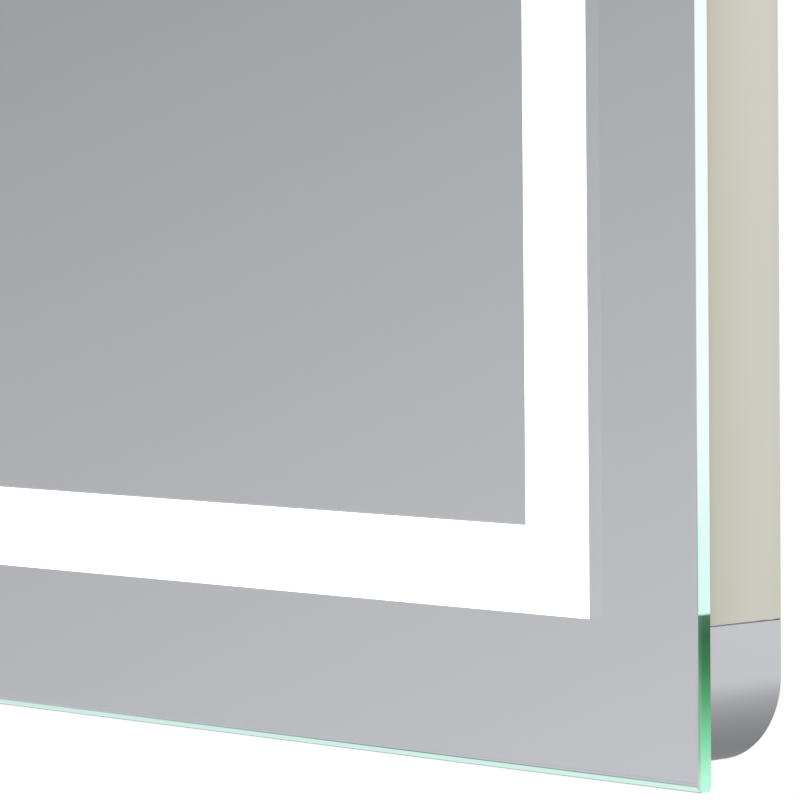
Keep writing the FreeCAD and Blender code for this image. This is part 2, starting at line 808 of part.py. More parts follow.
def wall_rail():
    s = rail_gauge
    top, hook = rail_web_height, rail_web_height + hook_height
    corners = [
        (0, -rail_foot, 0), (0, top, 2 * s), (-rail_stand_off + s, top, rail_bend),
        (-rail_stand_off + s, hook, 0), (-rail_stand_off, hook, 0), (-rail_stand_off, top - s, 2 * s),
        (-s, top - s, rail_bend), (-s, -rail_foot, 0),
    ]
    rail = rail_bar(corners, rail_length)
    cuts = [rod(x, -2 * s, s, 0, wall_hole_radius) for x in (-wall_hole_spacing / 2, wall_hole_spacing / 2)]
    for x in (-wall_slot_spacing / 2, wall_slot_spacing / 2):
        cuts.append(rounded_plate(x, 0, wall_slot_length, 2 * wall_hole_radius, wall_hole_radius - 0.001,
                                  -2 * s, s))
    return rail.cut(Part.makeCompound(cuts))


def hanger_rail():
    s = rail_gauge
    web = hanger_web_z()
    lip_front = -hanger_lip_gap - s
    lip_low = rail_web_height + hook_height - hook_overlap
    flange_top = web + s + hanger_flange
    corners = [
        (y_plate_rear, web, 2 * s), (lip_front, web, rail_bend), (lip_front, lip_low, 0),
        (-hanger_lip_gap, lip_low, 0), (-hanger_lip_gap, web + s, 2 * s), (y_plate_rear + s, web + s, rail_bend),
        (y_plate_rear + s, flange_top, 0), (y_plate_rear, flange_top, 0),
    ]
    rail = rail_bar(corners, rail_length)
    holes = [faceted_hole(x, y_ledge, y_plate_rear + 2 * s, z, rivet_radius + pilot_clear)
             for x, z in rivet_places()]
    return rail.cut(Part.makeCompound(holes))


def hanger_rivets():
    return [blind_rivet(x, y_plate_rear + rail_gauge, z, rail_gauge + plate_thick) for x, z in rivet_places()]


def wall_bumpers():
    """Rubber buttons pressed into the corner posts; their faces touch the wall."""
    bumpers = []
    for x, z in post_places():
        stem = faceted_rod(x, y_rear - bumper_stem_length, y_rear, z, bumper_stem_radius, head_sides)
        bumpers.append(faceted_rod(x, y_rear, 0, z, bumper_radius, post_sides).fuse(stem))
    return bumpers


# ---------------------------------------------------------------- driver
def driver_screw_places():
    reach = driver_length / 2 + ear_length / 2
    return [(driver_centre_x - reach, driver_centre_z), (driver_centre_x + reach, driver_centre_z)]


def driver_case():
    """The driver's moulded case with a screw ear at each end, open towards the glass under its lid."""
    y0 = y_ledge - driver_height
    x, z = driver_centre_x, driver_centre_z
    case = clipped_plate(x, z, driver_length, driver_width, driver_clip, y0, y_ledge)
    ears = clipped_plate(x, z, driver_length + 2 * ear_length, ear_width, driver_clip,
                         y_ledge - ear_thick, y_ledge)
    inner = clipped_plate(x, z, driver_length - 2 * driver_wall, driver_width - 2 * driver_wall,
                          driver_clip - driver_wall / 2, y0, y_ledge - driver_wall)
    shell = case.fuse(ears).removeSplitter().cut(inner)
    cuts = [faceted_hole(sx, y_ledge - ear_thick, y_ledge, sz, pilot_radius) for sx, sz in driver_screw_places()]
    half = lead_radius + lead_play
    y, reach = driver_lead_y(), driver_length / 2
    for end in (-1, 1):
        cuts.append(block(x + end * (reach - 2 * driver_wall), x + end * (reach + driver_wall), y - half, y + half,
                          z - half, z + half))
    return shell.cut(Part.makeCompound(cuts))


def driver_lid():
    y0 = y_ledge - driver_height
    return clipped_plate(driver_centre_x, driver_centre_z, driver_length, driver_width, driver_clip,
                         y0 - driver_lid_thick, y0)


def part_on_board(x, z, size, foot_y):
    """A block-shaped component that stands on the circuit board towards the glass."""
    width, height, length = size
    return block(x - width / 2, x + width / 2, foot_y - height, foot_y, z - length / 2, z + length / 2)


def driver_board():
    """The circuit board with its transformer, two capacitors and a heat spreader."""
    x, z = driver_centre_x, driver_centre_z
    rear = y_ledge - driver_wall - circuit_foot
    top = rear - circuit_thick
    half_long = driver_length / 2 - driver_wall - circuit_gap
    half_wide = driver_width / 2 - driver_wall - circuit_gap / 2
    board = block(x - half_long, x + half_long, top, rear, z - half_wide, z + half_wide)
    pieces = [part_on_board(x, z, transformer_size, top),
              part_on_board(x + driver_length / 4, z, spreader_size, top)]
    for end in (-1, 1):
        foot_x = x + end * foot_spacing / 2
        pieces.append(block(foot_x - foot_size / 2, foot_x + foot_size / 2, rear, rear + circuit_foot,
                            z - foot_size / 2, z + foot_size / 2))
        can_x = x - driver_length / 4 + end * capacitor_spacing / 2
        pieces.append(faceted_rod(can_x, top - capacitor_height, top, z + foot_size, capacitor_radius, post_sides))
    return board.fuse(pieces).removeSplitter()


def driver_screws():
    return [pan_screw(x, y_plate_rear, z, ear_screw_length) for x, z in driver_screw_places()]


def driver_lead_y():
    """Depth at which leads leave the driver's ends."""
    return y_ledge - ear_thick - lead_radius - lead_lift


# ---------------------------------------------------------------- junction box
def box_screw_places():
    """Screws that hold the junction box to the back plate."""
    x, z = box_width / 2 - box_side_inset, box_centre_z + box_height / 2 - box_top_inset
    return [(box_centre_x - x, z), (box_centre_x + x, z)]


def lid_screw_places():
    x, z = box_width / 2 - box_wall - lid_post_radius, box_height / 2 - box_wall - lid_post_radius
    return [(box_centre_x - x, box_centre_z - z), (box_centre_x + x, box_centre_z + z)]


def pass_place():
    return box_centre_x + box_width / 2 - box_side_inset, box_centre_z + pass_z


def earth_place():
    return box_centre_x - box_width / 2 + earth_inset, box_centre_z + earth_z


def junction_box():
    """The tray on the back plate where the house's supply cable is joined."""
    x, z = box_centre_x, box_centre_z
    top, floor = y_plate_rear + box_depth, y_plate_rear + box_wall
    lid_y = top - lid_thick
    tray = rounded_plate(x, z, box_width, box_height, box_round, y_plate_rear, top)
    inner = clipped_plate(x, z, box_width - 2 * box_wall, box_height - 2 * box_wall, box_clip, floor, top)
    tray = tray.cut(inner)
    keep = rounded_plate(x, z, box_width, box_height, box_round, y_plate_rear, lid_y)
    posts = [faceted_rod(px, floor, lid_y, pz, lid_post_radius, hole_sides).common(keep)
             for px, pz in lid_screw_places()]
    half, rest, clamp_line = clamp_post / 2, floor + clamp_rest, z + clamp_z
    for cx in clamp_screw_places():
        posts.append(block(cx - half, cx + half, floor, rest, clamp_line - half, clamp_line + half))
    tray = tray.fuse(posts).removeSplitter()
    cuts = [faceted_hole(px, lid_y - lid_screw_length, lid_y, pz, pilot_radius) for px, pz in lid_screw_places()]
    cuts += [faceted_hole(cx, floor, rest, clamp_line, pilot_radius) for cx in clamp_screw_places()]
    floor_holes = [(place, screw_hole_radius) for place in box_screw_places()]
    floor_holes += [(pass_place(), pass_hole_radius), (earth_place(), pilot_radius)]
    cuts += [faceted_hole(px, y_plate_rear, floor, pz, radius) for (px, pz), radius in floor_holes]
    entry_start = Vec(x, entry_y(), z - box_height / 2 - box_wall)
    cuts.append(Part.makeCylinder(entry_hole_radius, 3 * box_wall, entry_start, Vec(0, 0, 1)))
    return tray.cut(Part.makeCompound(cuts))


def clamp_screw_places():
    reach = (clamp_width - clamp_post) / 2
    return [box_centre_x - reach, box_centre_x + reach]


def entry_y():
    """Depth of the supply cable's axis as it enters the junction box."""
    return y_plate_rear + (box_wall + box_depth - lid_thick) / 2


def junction_lid():
    x, z = box_centre_x, box_centre_z
    top = y_plate_rear + box_depth
    cut = box_wall + lid_clear
    lid = clipped_plate(x, z, box_width - 2 * cut, box_height - 2 * cut, box_clip, top - lid_thick, top)
    holes = [faceted_hole(px, top - lid_thick, top, pz, screw_hole_radius) for px, pz in lid_screw_places()]
    return lid.cut(Part.makeCompound(holes))


def junction_lid_screws():
    top = y_plate_rear + box_depth
    return [pan_screw(px, top, pz, lid_screw_length) for px, pz in lid_screw_places()]


def junction_box_screws():
    floor = y_plate_rear + box_wall
    return [pan_screw(px, floor, pz, box_wall + plate_thick + screw_bite) for px, pz in box_screw_places()]


def terminal_foot():
    """Middle of the terminal block and the depth of its foot."""
    x = box_centre_x - box_width / 2 + terminal_inset + terminal_width / 2
    return x, y_plate_rear + box_wall + terminal_seat, box_centre_z + terminal_z


def pole_places():
    """X of every pole of the terminal block, and the pitch between them."""
    pitch = terminal_width / terminal_poles
    first = terminal_foot()[0] - (terminal_width - pitch) / 2
    return [first + pitch * i for i in range(terminal_poles)], pitch


def terminal_block():
    """A moulded strip with one wire way and one screw well at both ends of each pole."""
    x, foot, z = terminal_foot()
    poles, pitch = pole_places()
    half_wide, half_high = terminal_width / 2, terminal_height / 2
    top = foot + terminal_depth
    body = block(x - half_wide, x + half_wide, foot, top, z - half_high, z + half_high)
    way, well = pitch * way_share, pitch * well_share
    way_y = foot + terminal_skin
    cuts = []
    for px in poles:
        for end in (-1, 1):
            mouth = z + end * half_high
            cuts.append(block(px - way, px + way, way_y, way_y + 2 * way, mouth - end * way_length, mouth))
            well_z = z + end * well_offset
            cuts.append(block(px - well, px + well, foot + well_floor, top, well_z - well, well_z + well))
    for px in poles[1:]:
        middle = px - pitch / 2
        cuts.append(block(middle - pole_slot_width / 2, middle + pole_slot_width / 2, top - pole_slot_depth, top,
                          z - half_high, z + half_high))
    return body.cut(Part.makeCompound(cuts))


def terminal_screws():
    x, foot, z = terminal_foot()
    poles, pitch = pole_places()
    low = foot + well_floor
    return [faceted_rod(px, low, low + terminal_screw_height, z + end * well_offset, pitch * way_share, head_sides)
            for px in poles for end in (-1, 1)]


def cable_grommet():
    """The rubber ring that the supply cable enters through; a groove round it grips the box's wall."""
    lowest = box_centre_z - box_height / 2 - entry_flange_thick
    height = box_wall + 2 * entry_flange_thick
    x, y = box_centre_x, entry_y()

    def ring(radius, z0, length):
        points = [Vec(x + radius * math.cos(2 * math.pi * i / post_sides),
                      y + radius * math.sin(2 * math.pi * i / post_sides), z0) for i in range(post_sides)]
        return Part.Face(Part.makePolygon(points + points[:1])).extrude(Vec(0, 0, length))

    neck = ring(entry_hole_radius - grommet_clear, lowest, height)
    flange_length = entry_flange_thick - grommet_clear / 2
    ends = [ring(entry_flange_radius, lowest, flange_length),
            ring(entry_flange_radius, lowest + height - flange_length, flange_length)]
    bore = Part.makeCylinder(entry_bore_radius, height, Vec(x, y, lowest), Vec(0, 0, 1))
    return neck.fuse(ends).removeSplitter().cut(bore)


def lead_grommet():
    """The ring that lines the hole through the box's floor and the plate, with flat sides."""
    px, pz = pass_place()
    y0, y1 = y_ledge, y_plate_rear + box_wall
    neck = faceted_rod(px, y0, y1, pz, pass_hole_radius - grommet_clear, head_sides)
    rings = [faceted_rod(px, y0 - pass_flange_thick, y0, pz, pass_flange_radius, head_sides),
             faceted_rod(px, y1, y1 + pass_flange_thick, pz, pass_flange_radius, head_sides)]
    bore = faceted_hole(px, y0 - pass_flange_thick, y1 + pass_flange_thick, pz, pass_bore_radius)
    return neck.fuse(rings).cut(bore).removeSplitter()


def cord_clamp():
    """The bar that would hold the supply cable down on the box's floor."""
    floor = y_plate_rear + box_wall + clamp_rest
    z = box_centre_z + clamp_z
    bar = rounded_plate(box_centre_x, z, clamp_width, clamp_height, 0, floor, floor + clamp_thick)
    holes = [faceted_hole(cx, floor, floor + clamp_thick, z, pilot_radius) for cx in clamp_screw_places()]
    return bar.cut(Part.makeCompound(holes))


def cord_clamp_screws():
    seat = y_plate_rear + box_wall + clamp_rest + clamp_thick
    length = clamp_rest + clamp_thick
    z = box_centre_z + clamp_z
    return [pan_screw(cx, seat, z, length, head=clamp_screw_head) for cx in clamp_screw_places()]


def earth_screw():
    """The earth screw with its ring lug, driven through the box's floor into the steel plate."""
    floor = y_plate_rear + box_wall
    x, z = earth_place()
    screw = pan_screw(x, floor + lug_thick, z, lug_thick + box_wall + plate_thick + screw_bite)
    lug = faceted_rod(x, floor, floor + lug_thick, z, lug_radius, head_sides)
    barrel = block(x - barrel_radius, x + barrel_radius, floor, floor + 2 * barrel_radius, z + barrel_start,
                   z + barrel_end)
    return screw.fuse([lug, barrel]).removeSplitter()


# ---------------------------------------------------------------- leads
def led_lead_y():
    """Depth of the LED lead where it passes through the channel's wall."""
    return board_depths()[0] - lead_radius - lead_lift


def led_lead_z():
    return driver_centre_z


def mains_lead():
    """From the terminal block through the grommet in the plate and along to the driver's input."""
    wire_x = pole_places()[0][-1]
    foot = terminal_foot()[1]
    wire_y, inside = foot + wire_depth, driver_lead_y()
    wire_z = terminal_foot()[2] - terminal_height / 2
    px, pz = pass_place()
    end_x, end_z = driver_centre_x + driver_length / 2, driver_centre_z
    tight = 2.7 * lead_radius
    points = [
        Vec(wire_x, wire_y, wire_z + lead_tuck),
        Vec(wire_x, wire_y, pz),
        Vec(px, wire_y, pz),
        Vec(px, inside, pz),
        Vec(px + 24, inside, pz - 48),
        Vec(end_x + 34, inside, end_z + 18),
        Vec(end_x + 16, inside, end_z),
        Vec(end_x - lead_tuck, inside, end_z),
    ]
    return tube(points, [tight, tight, tight, 20, 26, 12], lead_radius)


def led_lead():
    """From the driver's output, held by clips on the plate, into the light channel on the right."""
    inside = driver_lead_y()
    start, z = driver_centre_x - driver_length / 2, driver_centre_z
    channel = half_width - band_centre
    points = [
        Vec(start + lead_tuck, inside, z),
        Vec(start - 22, inside, z),
        Vec(start - 40, inside, z - 44),
        Vec(start + 20, inside, z - clip_drop),
        Vec(channel - 110, inside, z - clip_drop),
        Vec(channel - 60, led_lead_y(), led_lead_z()),
        Vec(channel - channel_inner / 2 + lead_tuck, led_lead_y(), led_lead_z()),
    ]
    return tube(points, [16, 18, 24, 40, 30], lead_radius)


def corner_jumpers():
    """Short leads that join the LED boards round three corners of the channel."""
    y = board_depths()[0] - jumper_radius
    x, z = half_width - band_centre, z_bottom + band_centre
    reach = board_width / 2 + board_end_gap + jumper_overlap
    lead = tube([Vec(x - reach, y, z), Vec(x, y, z), Vec(x, y, z + reach)], [jumper_bend], jumper_radius)
    return [lead, mirrored_x(lead), mirrored_z(lead)]


def wire_clips():
    """Adhesive saddles on the plate's front face that the LED lead runs through."""
    y, z = driver_lead_y(), driver_centre_z - clip_drop
    half, play = clip_size / 2, lead_radius + pilot_clear
    clips = []
    for x in (driver_centre_x - clip_spacing / 2, driver_centre_x + clip_spacing / 2):
        base = block(x - half, x + half, y_ledge - clip_base, y_ledge, z - clip_size, z + clip_size)
        arch = block(x - half / 2, x + half / 2, y - lead_radius - clip_arch, y_ledge,
                     z - clip_arch_width / 2, z + clip_arch_width / 2)
        way = block(x - half, x + half, y - play, y + play, z - play, z + play)
        clips.append(base.fuse(arch).cut(way).removeSplitter())
    return clips


# ---------------------------------------------------------------- export
def all_nodes():
    corner = corner_moulding()
    right, bottom = profile_right(), profile_bottom()
    channel_right, channel_bottom = light_channel_right(), light_channel("bottom")
    channel_left = mirrored_x(light_channel("right"))
    return {
        "mirror_glass": [mirror_glass()],
        "silver_backing": [silver_backing()],
        "profile_right": [right],
        "profile_left": [mirrored_x(right)],
        "profile_bottom": [bottom],
        "profile_top": [mirrored_z(bottom)],
        "corner_bottom_right": [corner],
        "corner_bottom_left": [mirrored_x(corner)],
        "corner_top_right": [mirrored_z(corner)],
        "corner_top_left": [mirrored_x(mirrored_z(corner))],
        "frame_tape": frame_tape(),
        "light_channel_right": [channel_right],
        "light_channel_left": [channel_left],
        "light_channel_bottom": [channel_bottom],
        "light_channel_top": [mirrored_z(channel_bottom)],
        "channel_tape": channel_tape(),
        "diffuser_right": [diffuser("right")],
        "diffuser_left": [mirrored_x(diffuser("right"))],
        "diffuser_bottom": [diffuser("bottom")],
        "diffuser_top": [mirrored_z(diffuser("bottom"))],
        "led_board_right": [led_board("right")],
        "led_board_left": [mirrored_x(led_board("right"))],
        "led_board_bottom": [led_board("bottom")],
        "led_board_top": [mirrored_z(led_board("bottom"))],
        "led_chips": led_chips(),
        "back_plate": [back_plate()],
        "back_plate_screws": back_plate_screws(),
        "wall_rail": [wall_rail()],
        "hanger_rail": [hanger_rail()],
        "hanger_rivets": hanger_rivets(),
        "wall_bumpers": wall_bumpers(),
        "driver_case": [driver_case()],
        "driver_lid": [driver_lid()],
        "driver_board": [driver_board()],
        "driver_screws": driver_screws(),
        "junction_box": [junction_box()],
        "junction_box_screws": junction_box_screws(),
        "junction_lid": [junction_lid()],
        "junction_lid_screws": junction_lid_screws(),
        "terminal_block": [terminal_block()],
        "terminal_screws": terminal_screws(),
        "cable_grommet": [cable_grommet()],
        "lead_grommet": [lead_grommet()],
        "cord_clamp": [cord_clamp()],
        "cord_clamp_screws": cord_clamp_screws(),
        "earth_screw": [earth_screw()],
        "mains_lead": [mains_lead()],
        "led_lead": [led_lead()],
        "corner_jumpers": corner_jumpers(),
        "wire_clips": wire_clips(),
    }


def main():
    os.makedirs("parts", exist_ok=True)
    for name, solids in all_nodes().items():
        loose = [solid for shape in solids for solid in shape.Solids]
        whole = loose[0] if len(loose) == 1 else Part.makeCompound(loose)
        if not whole.isValid():
            print("not valid:", name)
        whole.exportStep(os.path.join("parts", name + ".step"))


main()
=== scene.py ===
"""Looks of the lighted bathroom mirror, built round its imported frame.

Metres, in the frame of the part: X across, Y into the wall, Z up, with the wall's face at Y = 0.
"""

import math

import bmesh
import bpy
from mathutils import Matrix, Vector, noise


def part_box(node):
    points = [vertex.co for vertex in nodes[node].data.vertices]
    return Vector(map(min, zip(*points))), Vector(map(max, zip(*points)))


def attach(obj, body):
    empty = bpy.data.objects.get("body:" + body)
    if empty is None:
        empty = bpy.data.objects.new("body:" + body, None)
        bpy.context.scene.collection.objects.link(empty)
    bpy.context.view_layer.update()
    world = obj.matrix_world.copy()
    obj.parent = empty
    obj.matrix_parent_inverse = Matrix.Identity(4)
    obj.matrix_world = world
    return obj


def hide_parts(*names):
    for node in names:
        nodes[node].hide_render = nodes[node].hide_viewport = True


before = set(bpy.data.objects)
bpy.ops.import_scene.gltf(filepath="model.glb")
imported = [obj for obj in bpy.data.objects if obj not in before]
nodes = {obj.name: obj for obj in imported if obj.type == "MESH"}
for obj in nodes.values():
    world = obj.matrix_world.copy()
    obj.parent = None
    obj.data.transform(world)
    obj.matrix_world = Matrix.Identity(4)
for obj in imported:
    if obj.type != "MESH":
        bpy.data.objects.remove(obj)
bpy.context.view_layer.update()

MM = 0.001
WELD = 1e-6                      # points closer than this are one point
SIDES = ("right", "left", "bottom", "top")

# ------------------------------------------------------------------ places read from the frame
glass_low, glass_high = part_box("mirror_glass")
y_front, y_back = glass_low.y, glass_high.y
y_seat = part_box("silver_backing")[1].y       # rear face of the pane's backing
y_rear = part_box("profile_right")[1].y        # rear edge of the housing
y_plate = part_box("hanger_rail")[0].y         # where the hanger rail lies on the back plate
middle_x, middle_z = (glass_low.x + glass_high.x) / 2, (glass_low.z + glass_high.z) / 2
half_wide, half_tall = (glass_high.x - glass_low.x) / 2, (glass_high.z - glass_low.z) / 2

# ------------------------------------------------------------------ sizes of the finer forms
ARRIS = 0.8 * MM                 # ground corner round the pane's front and back
RIM_WIDTH = 1.9 * MM             # ring of the pane's edge, which covers the silver's edge
RIM_OVERLAP = 0.05 * MM          # how far the clear glass reaches into the ring
BAND_BORDER = 44.5 * MM          # from the pane's edge to the lit band
BAND_WIDTH = 25.0 * MM
AIR = 0.02 * MM                  # keeps glass faces off the coats behind them
SEAM_GAP = 0.25 * MM             # between a rail's end and a moulding's shoulder
GROOVE_DROP = 0.42 * MM          # groove round a moulding's shoulder, past the shoulder's place
GROOVE_DEPTH = 1.3 * MM          # from the moulding's outer face
GROOVE_REAR = 0.4 * MM           # skin left behind the groove
GROOVE_FRONT = 1.0 * MM          # how far the groove's cutter stands out in front
RAIL_LONG = 0.20 * MM            # how much too long a tall rail is sawn, at each end
SEAM_CLOSE = 0.03 * MM           # what is left between rail and moulding behind the groove
RAIL_SLICES = 26                 # strips across a rail's depth, so that a sawn end can wave
SAWN_LENGTH = 1.0 * MM           # the wave of a sawn end runs out over this length
SAWN_WAVE, SAWN_WAVES = 0.06 * MM, 5.0    # height of that wave and how often it swings over the depth
SAWN_BURRS = ((-0.10 * MM, 0.86, 0.03), (0.05 * MM, 0.78, 0.05))    # height, place and width over the depth
BEAD_CREST = 1.35 * MM           # points further than this behind the hanger rail's foot are on a bead's top


# ------------------------------------------------------------------ mesh helpers
def shown(name, data):
    """A new object in the scene."""
    thing = bpy.data.objects.new(name, data)
    bpy.context.scene.collection.objects.link(thing)
    return thing


def mesh_of(bm, name="part"):
    """A mesh from a bmesh, which is freed."""
    mesh = bpy.data.meshes.new(name)
    bm.to_mesh(mesh)
    bm.free()
    return mesh


def finish_piece(name, bm, material, stands_for=(), body="mirror", smooth_angle=None):
    """Turns a bmesh into a finished object with its material and body, and hides the frame nodes it stands
    for.
    """
    if smooth_angle is not None:
        shade(bm, smooth_angle)
    piece = shown(name, mesh_of(bm, name))
    piece.data.materials.append(material)
    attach(piece, body)
    if stands_for:
        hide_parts(*stands_for)


def shade(bm, angle):
    """Smooth faces, with edges sharper than the angle kept hard."""
    for face in bm.faces:
        face.smooth = True
    for edge in bm.edges:
        edge.smooth = len(edge.link_faces) == 2 and edge.calc_face_angle(0.0) < math.radians(angle)


def from_node(node):
    """A bmesh of a frame node with its loose triangles joined."""
    bm = bmesh.new()
    bm.from_mesh(nodes[node].data)
    bmesh.ops.remove_doubles(bm, verts=bm.verts, dist=WELD)
    return bm


def welded(node):
    """A bmesh of a frame node with its flat faces whole."""
    bm = from_node(node)
    bmesh.ops.dissolve_limit(bm, angle_limit=math.radians(0.5), verts=bm.verts, edges=bm.edges)
    bmesh.ops.recalc_face_normals(bm, faces=bm.faces)
    return bm


def islands(node):
    """Lowest and highest corner of each separate solid of a frame node."""
    bm = from_node(node)
    seen, found = set(), []
    for start in bm.verts:
        if start in seen:
            continue
        stack, group = [start], []
        seen.add(start)
        while stack:
            vert = stack.pop()
            group.append(vert.co.copy())
            for edge in vert.link_edges:
                other = edge.other_vert(vert)
                if other not in seen:
                    seen.add(other)
                    stack.append(other)
        low = Vector([min(co[i] for co in group) for i in range(3)])
        high = Vector([max(co[i] for co in group) for i in range(3)])
        found.append((low, high))
    bm.free()
    return found


def cleaned(bm):
    """Joins doubled points and drops faces without area."""
    bmesh.ops.remove_doubles(bm, verts=bm.verts, dist=WELD)
    bmesh.ops.dissolve_degenerate(bm, dist=WELD, edges=bm.edges)
    return bm


def slice_at(bm, place, direction):
    """Cuts all faces along a plane, without taking anything away."""
    everything = bm.verts[:] + bm.edges[:] + bm.faces[:]
    bmesh.ops.bisect_plane(bm, geom=everything, plane_co=place, plane_no=direction)


def block(size, place):
    """A box of a given size round a place."""
    bm = bmesh.new()
    bmesh.ops.create_cube(bm, size=1.0)
    matrix = Matrix.Translation(place) @ Matrix.Diagonal((*size, 1.0))
    bmesh.ops.transform(bm, matrix=matrix, verts=bm.verts)
    return bm


def plate_block(inset, y0, y1):
    """A block with the pane's outline less an inset, between two depths."""
    size = (2 * (half_wide - inset), y1 - y0, 2 * (half_tall - inset))
    return block(size, (middle_x, (y0 + y1) / 2, middle_z))


def pierced(bm, width):
    """Turns a block into a ring by a hole right through, front to back, its broad faces of a given width."""
    broad = [face for face in bm.faces if abs(face.normal.y) > 0.99]
    bmesh.ops.inset_individual(bm, faces=broad, thickness=width, use_even_offset=True)
    edges = [edge for face in broad for edge in face.edges]
    bmesh.ops.delete(bm, geom=broad, context="FACES_ONLY")
    bmesh.ops.bridge_loops(bm, edges=edges)
    bmesh.ops.recalc_face_normals(bm, faces=bm.faces)
    return bm


def turned(profile, segments=24):
    """A closed solid of revolution round Z.

    The profile is (radius, height) in millimetres, from pole to pole or as a closed ring."""
    bm = bmesh.new()
    verts = [bm.verts.new((radius * MM, 0, height * MM)) for radius, height in profile]
    pairs = list(zip(verts, verts[1:]))
    if profile[0][0] > 0:
        pairs.append((verts[-1], verts[0]))
    edges = [bm.edges.new(pair) for pair in pairs]
    bmesh.ops.spin(bm, geom=verts + edges, cent=(0, 0, 0), axis=(0, 0, 1), angle=2 * math.pi,
                   steps=segments, use_merge=True)
    bmesh.ops.remove_doubles(bm, verts=bm.verts, dist=0.1 * WELD)
    bmesh.ops.recalc_face_normals(bm, faces=bm.faces)
    return bm


def joined(parts):
    """One bmesh from several."""
    whole = bmesh.new()
    for part in parts:
        mesh = mesh_of(part)
        whole.from_mesh(mesh)
        bpy.data.meshes.remove(mesh)
    return whole


def carved(bm, cutter):
    """The first solid less the second."""
    holders = [shown("part", mesh_of(part)) for part in (bm, cutter)]
    cut = holders[0].modifiers.new("cut", "BOOLEAN")
    cut.operation, cut.solver, cut.object = "DIFFERENCE", "EXACT", holders[1]
    result = bmesh.new()
    result.from_object(holders[0], bpy.context.evaluated_depsgraph_get())
    for holder in holders:
        mesh = holder.data
        bpy.data.objects.remove(holder)
        bpy.data.meshes.remove(mesh)
    return cleaned(result)


def softened(node, offset, sharp=30, chosen=None):
    """A welded copy of a node whose sharp edges are rounded. chosen may pick which of them."""
    bm = welded(node)
    edges = [edge for edge in bm.edges if len(edge.link_faces) == 2
             and edge.calc_face_angle(0.0) > math.radians(sharp) and (chosen is None or chosen(edge))]
    bmesh.ops.bevel(bm, geom=edges, offset=offset, offset_type="OFFSET", segments=3, profile=0.5,
                    affect="EDGES", material=-1, clamp_overlap=True)
    return bm


# ------------------------------------------------------------------ shader helpers
def new_material(name):
    """A material, its tree and its shader."""
    material = bpy.data.materials.new(name)
    material.use_nodes = True
    tree = material.node_tree
    return material, tree, tree.nodes["Principled BSDF"]


def set_sockets(node, values):
    """Sets a node's sockets by name."""
    for name, value in values.items():
        node.inputs[name].default_value = value


def feed(tree, socket, value):
    """Gives a socket a number or a colour, or a link from another socket."""
    if isinstance(value, (int, float, tuple)):
        socket.default_value = value
    else:
        tree.links.new(value, socket)


def srgb(r, g, b):
    """Linear colour from 0..255 display values."""
    def channel(v):
        v = v / 255
        return v / 12.92 if v <= 0.04045 else ((v + 0.055) / 1.055) ** 2.4
    return (channel(r), channel(g), channel(b), 1.0)


def math_node(tree, operation, *values, clamp=False):
    """A Math node whose inputs are sockets or numbers. Gives its output socket."""
    node = tree.nodes.new("ShaderNodeMath")
    node.operation = operation
    node.use_clamp = clamp
    for socket, value in zip(node.inputs, values):
        feed(tree, socket, value)
    return node.outputs[0]


def vector_node(tree, operation, values):
    """A Vector Math node with inputs by number or name. Gives its outputs."""
    node = tree.nodes.new("ShaderNodeVectorMath")
    node.operation = operation
    for place, value in values.items():
        feed(tree, node.inputs[place], value)
    return node.outputs


def mix_colour(tree, factor, first, second):
    """A Mix node whose inputs are sockets or colours. Gives its output socket."""
    node = tree.nodes.new("ShaderNodeMix")
    node.data_type = "RGBA"
    for place, value in ((0, factor), (6, first), (7, second)):
        feed(tree, node.inputs[place], value)
    return node.outputs[2]


def mix_value(tree, factor, first, second):
    """A Mix node whose inputs are sockets or numbers. Gives its output socket."""
    node = tree.nodes.new("ShaderNodeMix")
    node.data_type = "FLOAT"
    for place, value in ((0, factor), (2, first), (3, second)):
        feed(tree, node.inputs[place], value)
    return node.outputs[0]


def share(tree, value, zero, one, interpolation="LINEAR"):
    """0 to 1 as a value runs from one number to another, and no further."""
    node = tree.nodes.new("ShaderNodeMapRange")
    node.interpolation_type = interpolation
    set_sockets(node, {"From Min": zero, "From Max": one})
    tree.links.new(value, node.inputs[0])
    return node.outputs[0]


def fraction(tree, value, whole):
    """A value as a part of the whole, kept between 0 and 1."""
    return math_node(tree, "DIVIDE", value, whole, clamp=True)


def toned(tree, value, stops):
    """The colour that a value from 0 to 1 picks between (place, colour) stops."""
    node = tree.nodes.new("ShaderNodeValToRGB")
    elements = node.color_ramp.elements
    while len(elements) < len(stops):
        elements.new(0.5)
    for element, (place, colour) in zip(elements, stops):
        element.position = place
        element.color = colour
    tree.links.new(value, node.inputs[0])
    return node.outputs["Color"]


def split(tree, vector):
    """The X, Y and Z of a vector."""
    node = tree.nodes.new("ShaderNodeSeparateXYZ")
    tree.links.new(vector, node.inputs[0])
    return node.outputs


def noise_field(tree, coords, sockets):
    """A noise texture on an object's own coordinates."""
    field = tree.nodes.new("ShaderNodeTexNoise")
    set_sockets(field, sockets)
    tree.links.new(coords.outputs["Object"], field.inputs["Vector"])
    return field


def bump(tree, height, shader, strength, distance):
    """Lets a height tilt the shader's normal."""
    node = tree.nodes.new("ShaderNodeBump")
    set_sockets(node, {"Strength": strength, "Distance": distance})
    tree.links.new(height, node.inputs["Height"])
    tree.links.new(node.outputs["Normal"], shader.inputs["Normal"])


COLOUR, NUMBER = "NodeSocketColor", "NodeSocketFloat"


def group_tree(name, inputs):
    """An empty shader group with inputs of given kinds, which gives a colour, a roughness and a height."""
    tree = bpy.data.node_groups.new(name, "ShaderNodeTree")
    outputs = {"Colour": COLOUR, "Roughness": NUMBER, "Height": NUMBER}
    for way, sockets in (("INPUT", inputs), ("OUTPUT", outputs)):
        for socket, kind in sockets.items():
            tree.interface.new_socket(name=socket, in_out=way, socket_type=kind)
    return tree, tree.nodes.new("NodeGroupInput"), tree.nodes.new("NodeGroupOutput")


